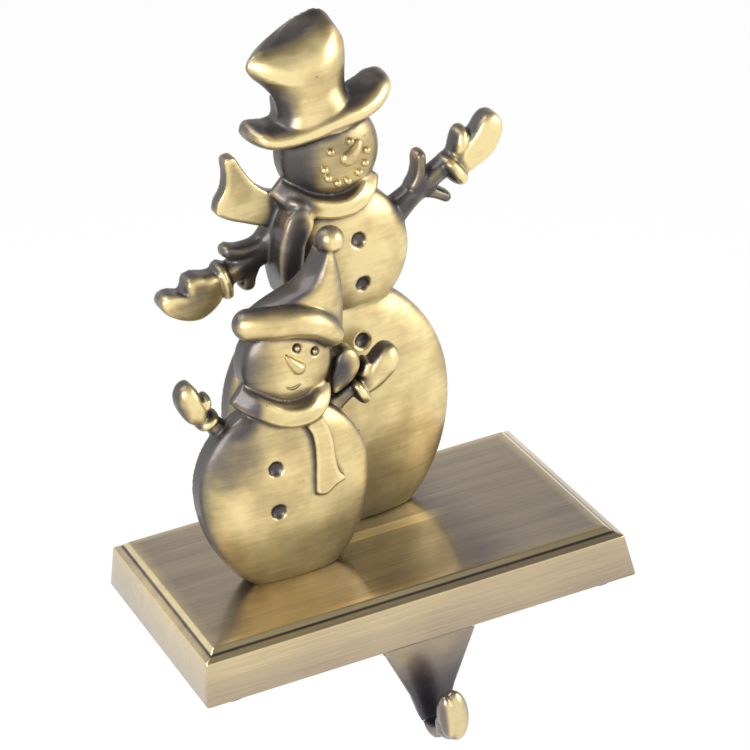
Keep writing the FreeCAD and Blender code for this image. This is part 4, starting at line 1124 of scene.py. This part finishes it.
class HOLDER_OT_small_snowman(bpy.types.Operator):
    """Makes the short snowman with its stocking cap, scarf and mittens"""
    bl_idname = "holder.small_snowman"
    bl_label = "Small snowman"

    def execute(self, context):
        piece = cast_figure("small_figure", small_parts(), SMALL["x"],
                            in_millimetres(context).voxel * SMALL_GRAIN, SMALL_OXIDE_AND_PAINTED_LIGHT_SPOTS, SMALL_BUTTONS)
        dish(piece, on_figure(SMALL_EYES, SMALL["x"]), radius=1.45, depth=0.6, dark_radius=1.55, dark=1.0)
        add_features(piece, small_face(), patina_and_shade=0.1)
        path = [(2.9, -13.4, 57.6), (4.8, -13.4, 56.8), (7.2, -13.3, 57.6)]
        mouth = tube(path, [0.12, 0.2, 0.12], count=24, around=16)
        add_features(piece, seated([mouth], SMALL["x"]), patina_and_shade=0.85)
        dress_figure(context, piece, "antique_brass_small_cast", "small_snowman")
        return {"FINISHED"}


# Screws and pads

class HOLDER_OT_fasteners(bpy.types.Operator):
    """Gives the screws and the pads their finishes"""
    bl_idname = "holder.fasteners"
    bl_label = "Screws and pads"

    def execute(self, context):
        steel = plated_steel("zinc_plated_steel", context.scene.holder_finish.steel, 0.3)
        rubber = pad_rubber("die_cut_rubber")
        for node, material in (("figure_screws", steel), ("hook_screws", steel), ("non_slip_pads", rubber)):
            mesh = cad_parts[node].data
            mesh.materials.clear()
            mesh.materials.append(material)
        return {"FINISHED"}


# The stage, in metres

CAMERA_PLACE = (-0.27534, -0.74693, 0.46255)
CAMERA_LENS = 158.23
SENSOR = 36.0
FLOOR_Z = -0.16

# name, place, size, watts
LAMPS = [("key_left", (-0.75, -0.55, 0.55), 0.55, 9.0),
         ("fill_right", (0.8, -0.5, 0.35), 0.6, 4.0),
         ("top_soft", (-0.45, 0.3, 0.85), 0.6, 5.0)]


class HOLDER_OT_stage(bpy.types.Operator):
    """Makes the floor, the lights, the world and the camera"""
    bl_idname = "holder.stage"
    bl_label = "Stage"

    def execute(self, context):
        stage = context.scene.holder_stage
        make_camera(context, stage)
        make_floor(stage)
        make_world()
        for lamp in LAMPS:
            make_lamp(*lamp)
        context.scene.view_settings.view_transform = "Standard"
        return {"FINISHED"}


def make_camera(context, stage):
    """The camera looks along its heading and dip, and rolls about that line."""
    data = bpy.data.cameras.new("photo_camera")
    data.lens = CAMERA_LENS
    data.sensor_width = SENSOR
    data.clip_start = 0.05
    camera = bpy.data.objects.new("photo_camera", data)
    context.scene.collection.objects.link(camera)
    turn = Matrix.Rotation(-stage.heading, 4, "Z") @ Matrix.Rotation(math.pi / 2 - stage.dip, 4, "X")
    camera.matrix_world = Matrix.Translation(CAMERA_PLACE) @ turn @ Matrix.Rotation(stage.roll, 4, "Z")
    context.scene.camera = camera


def seen_directly(tree):
    """1 for rays from the camera, and for those mirrored or bent by what they meet."""
    path = add_node(tree, "LightPath")
    either = add_node(tree, "Math", {"operation": "MAXIMUM"},
                      {0: path.outputs["Is Camera Ray"], 1: path.outputs["Is Glossy Ray"]})
    return add_node(tree, "Math", {"operation": "MAXIMUM"},
                    {0: either.outputs[0], 1: path.outputs["Is Transmission Ray"]}).outputs[0]


def make_floor(stage):
    """A wide, pale square. Most of its brightness is its own where it is seen, and a part takes the
    shadow."""
    half = 6.0
    corners = [(x * half, y * half, FLOOR_Z) for x, y in ((-1, -1), (1, -1), (1, 1), (-1, 1))]
    mesh = bpy.data.meshes.new("floor")
    mesh.from_pydata(corners, [], [(0, 1, 2, 3)])
    floor = bpy.data.objects.new("floor", mesh)
    bpy.context.scene.collection.objects.link(floor)
    material, tree, output = new_material("pale_floor")
    diffuse = add_node(tree, "BsdfDiffuse", {"Color": tuple(stage.floor_colour)})
    glow = add_node(tree, "Emission", {"Color": (1, 1, 1, 1), "Strength": 1.0})
    share = add_node(tree, "Math", {"operation": "MULTIPLY", 1: 0.9}, {0: seen_directly(tree)})
    mix = add_node(tree, "MixShader", {},
                   {0: share.outputs[0], 1: diffuse.outputs[0], 2: glow.outputs[0]})
    tree.links.new(mix.outputs[0], output.inputs["Surface"])
    mesh.materials.append(material)


def make_world():
    """White where it is seen or mirrored, and a plain soft grey as a light."""
    world = bpy.data.worlds.new("studio")
    bpy.context.scene.world = world
    world.use_nodes = True
    tree = world.node_tree
    tree.nodes.clear()
    output = add_node(tree, "OutputWorld")
    place = add_node(tree, "TexCoord").outputs["Generated"]
    height = add_node(tree, "SeparateXYZ", {}, {0: place}).outputs["Z"]
    sky = add_node(tree, "ValToRGB", {}, {"Fac": height})
    colour_stops(sky, [(0.3, "FFFFFF"), (0.62, "9A9A9A"), (1.0, "7A7A7A")])
    seen = add_node(tree, "Background", {"Strength": 1.0}, {"Color": sky.outputs["Color"]})
    light = add_node(tree, "Background", {"Color": (1, 1, 1, 1), "Strength": 0.55})
    mix = add_node(tree, "MixShader", {},
                   {0: seen_directly(tree), 1: light.outputs[0], 2: seen.outputs[0]})
    tree.links.new(mix.outputs[0], output.inputs["Surface"])


def make_lamp(name, place, size, watts):
    """A square soft box that looks at the middle of the object."""
    data = bpy.data.lights.new(name, "AREA")
    data.shape = "SQUARE"
    data.size = size
    data.energy = watts
    lamp = bpy.data.objects.new(name, data)
    bpy.context.scene.collection.objects.link(lamp)
    lamp.location = place
    lamp.rotation_euler = (Vector((0, 0, 0.08)) - Vector(place)).to_track_quat("-Z", "Y").to_euler()


class HOLDER_PT_panel(bpy.types.Panel):
    """Lists the holder's pieces and its stage"""
    bl_label = "Stocking Holder"
    bl_space_type = "VIEW_3D"
    bl_region_type = "UI"
    bl_category = "Stocking Holder"

    def draw(self, context):
        layout = self.layout
        for group in (getattr(context.scene, name) for name in GROUPS):
            column = layout.column(align=True)
            for name in group.bl_rna.properties.keys():
                if name not in ("rna_type", "name"):
                    column.prop(group, name)
        for operator in OPERATORS:
            layout.operator(operator.bl_idname)


OPERATORS = (HOLDER_OT_base, HOLDER_OT_hook, HOLDER_OT_large_snowman, HOLDER_OT_small_snowman,
             HOLDER_OT_fasteners, HOLDER_OT_stage)
GROUPS = {"holder_sizes": HolderSizes, "holder_finish": HolderFinish, "holder_stage": HolderStage}
CLASSES = tuple(GROUPS.values()) + OPERATORS + (HOLDER_PT_panel,)


def register():
    for item in CLASSES:
        bpy.utils.register_class(item)
    for name, group in GROUPS.items():
        setattr(bpy.types.Scene, name, PointerProperty(type=group))


def unregister():
    for name in GROUPS:
        delattr(bpy.types.Scene, name)
    for item in reversed(CLASSES):
        bpy.utils.unregister_class(item)


def main():
    register()
    for operator in OPERATORS:
        group, name = operator.bl_idname.split(".")
        getattr(getattr(bpy.ops, group), name)()


if __name__ == "__main__":
    main()
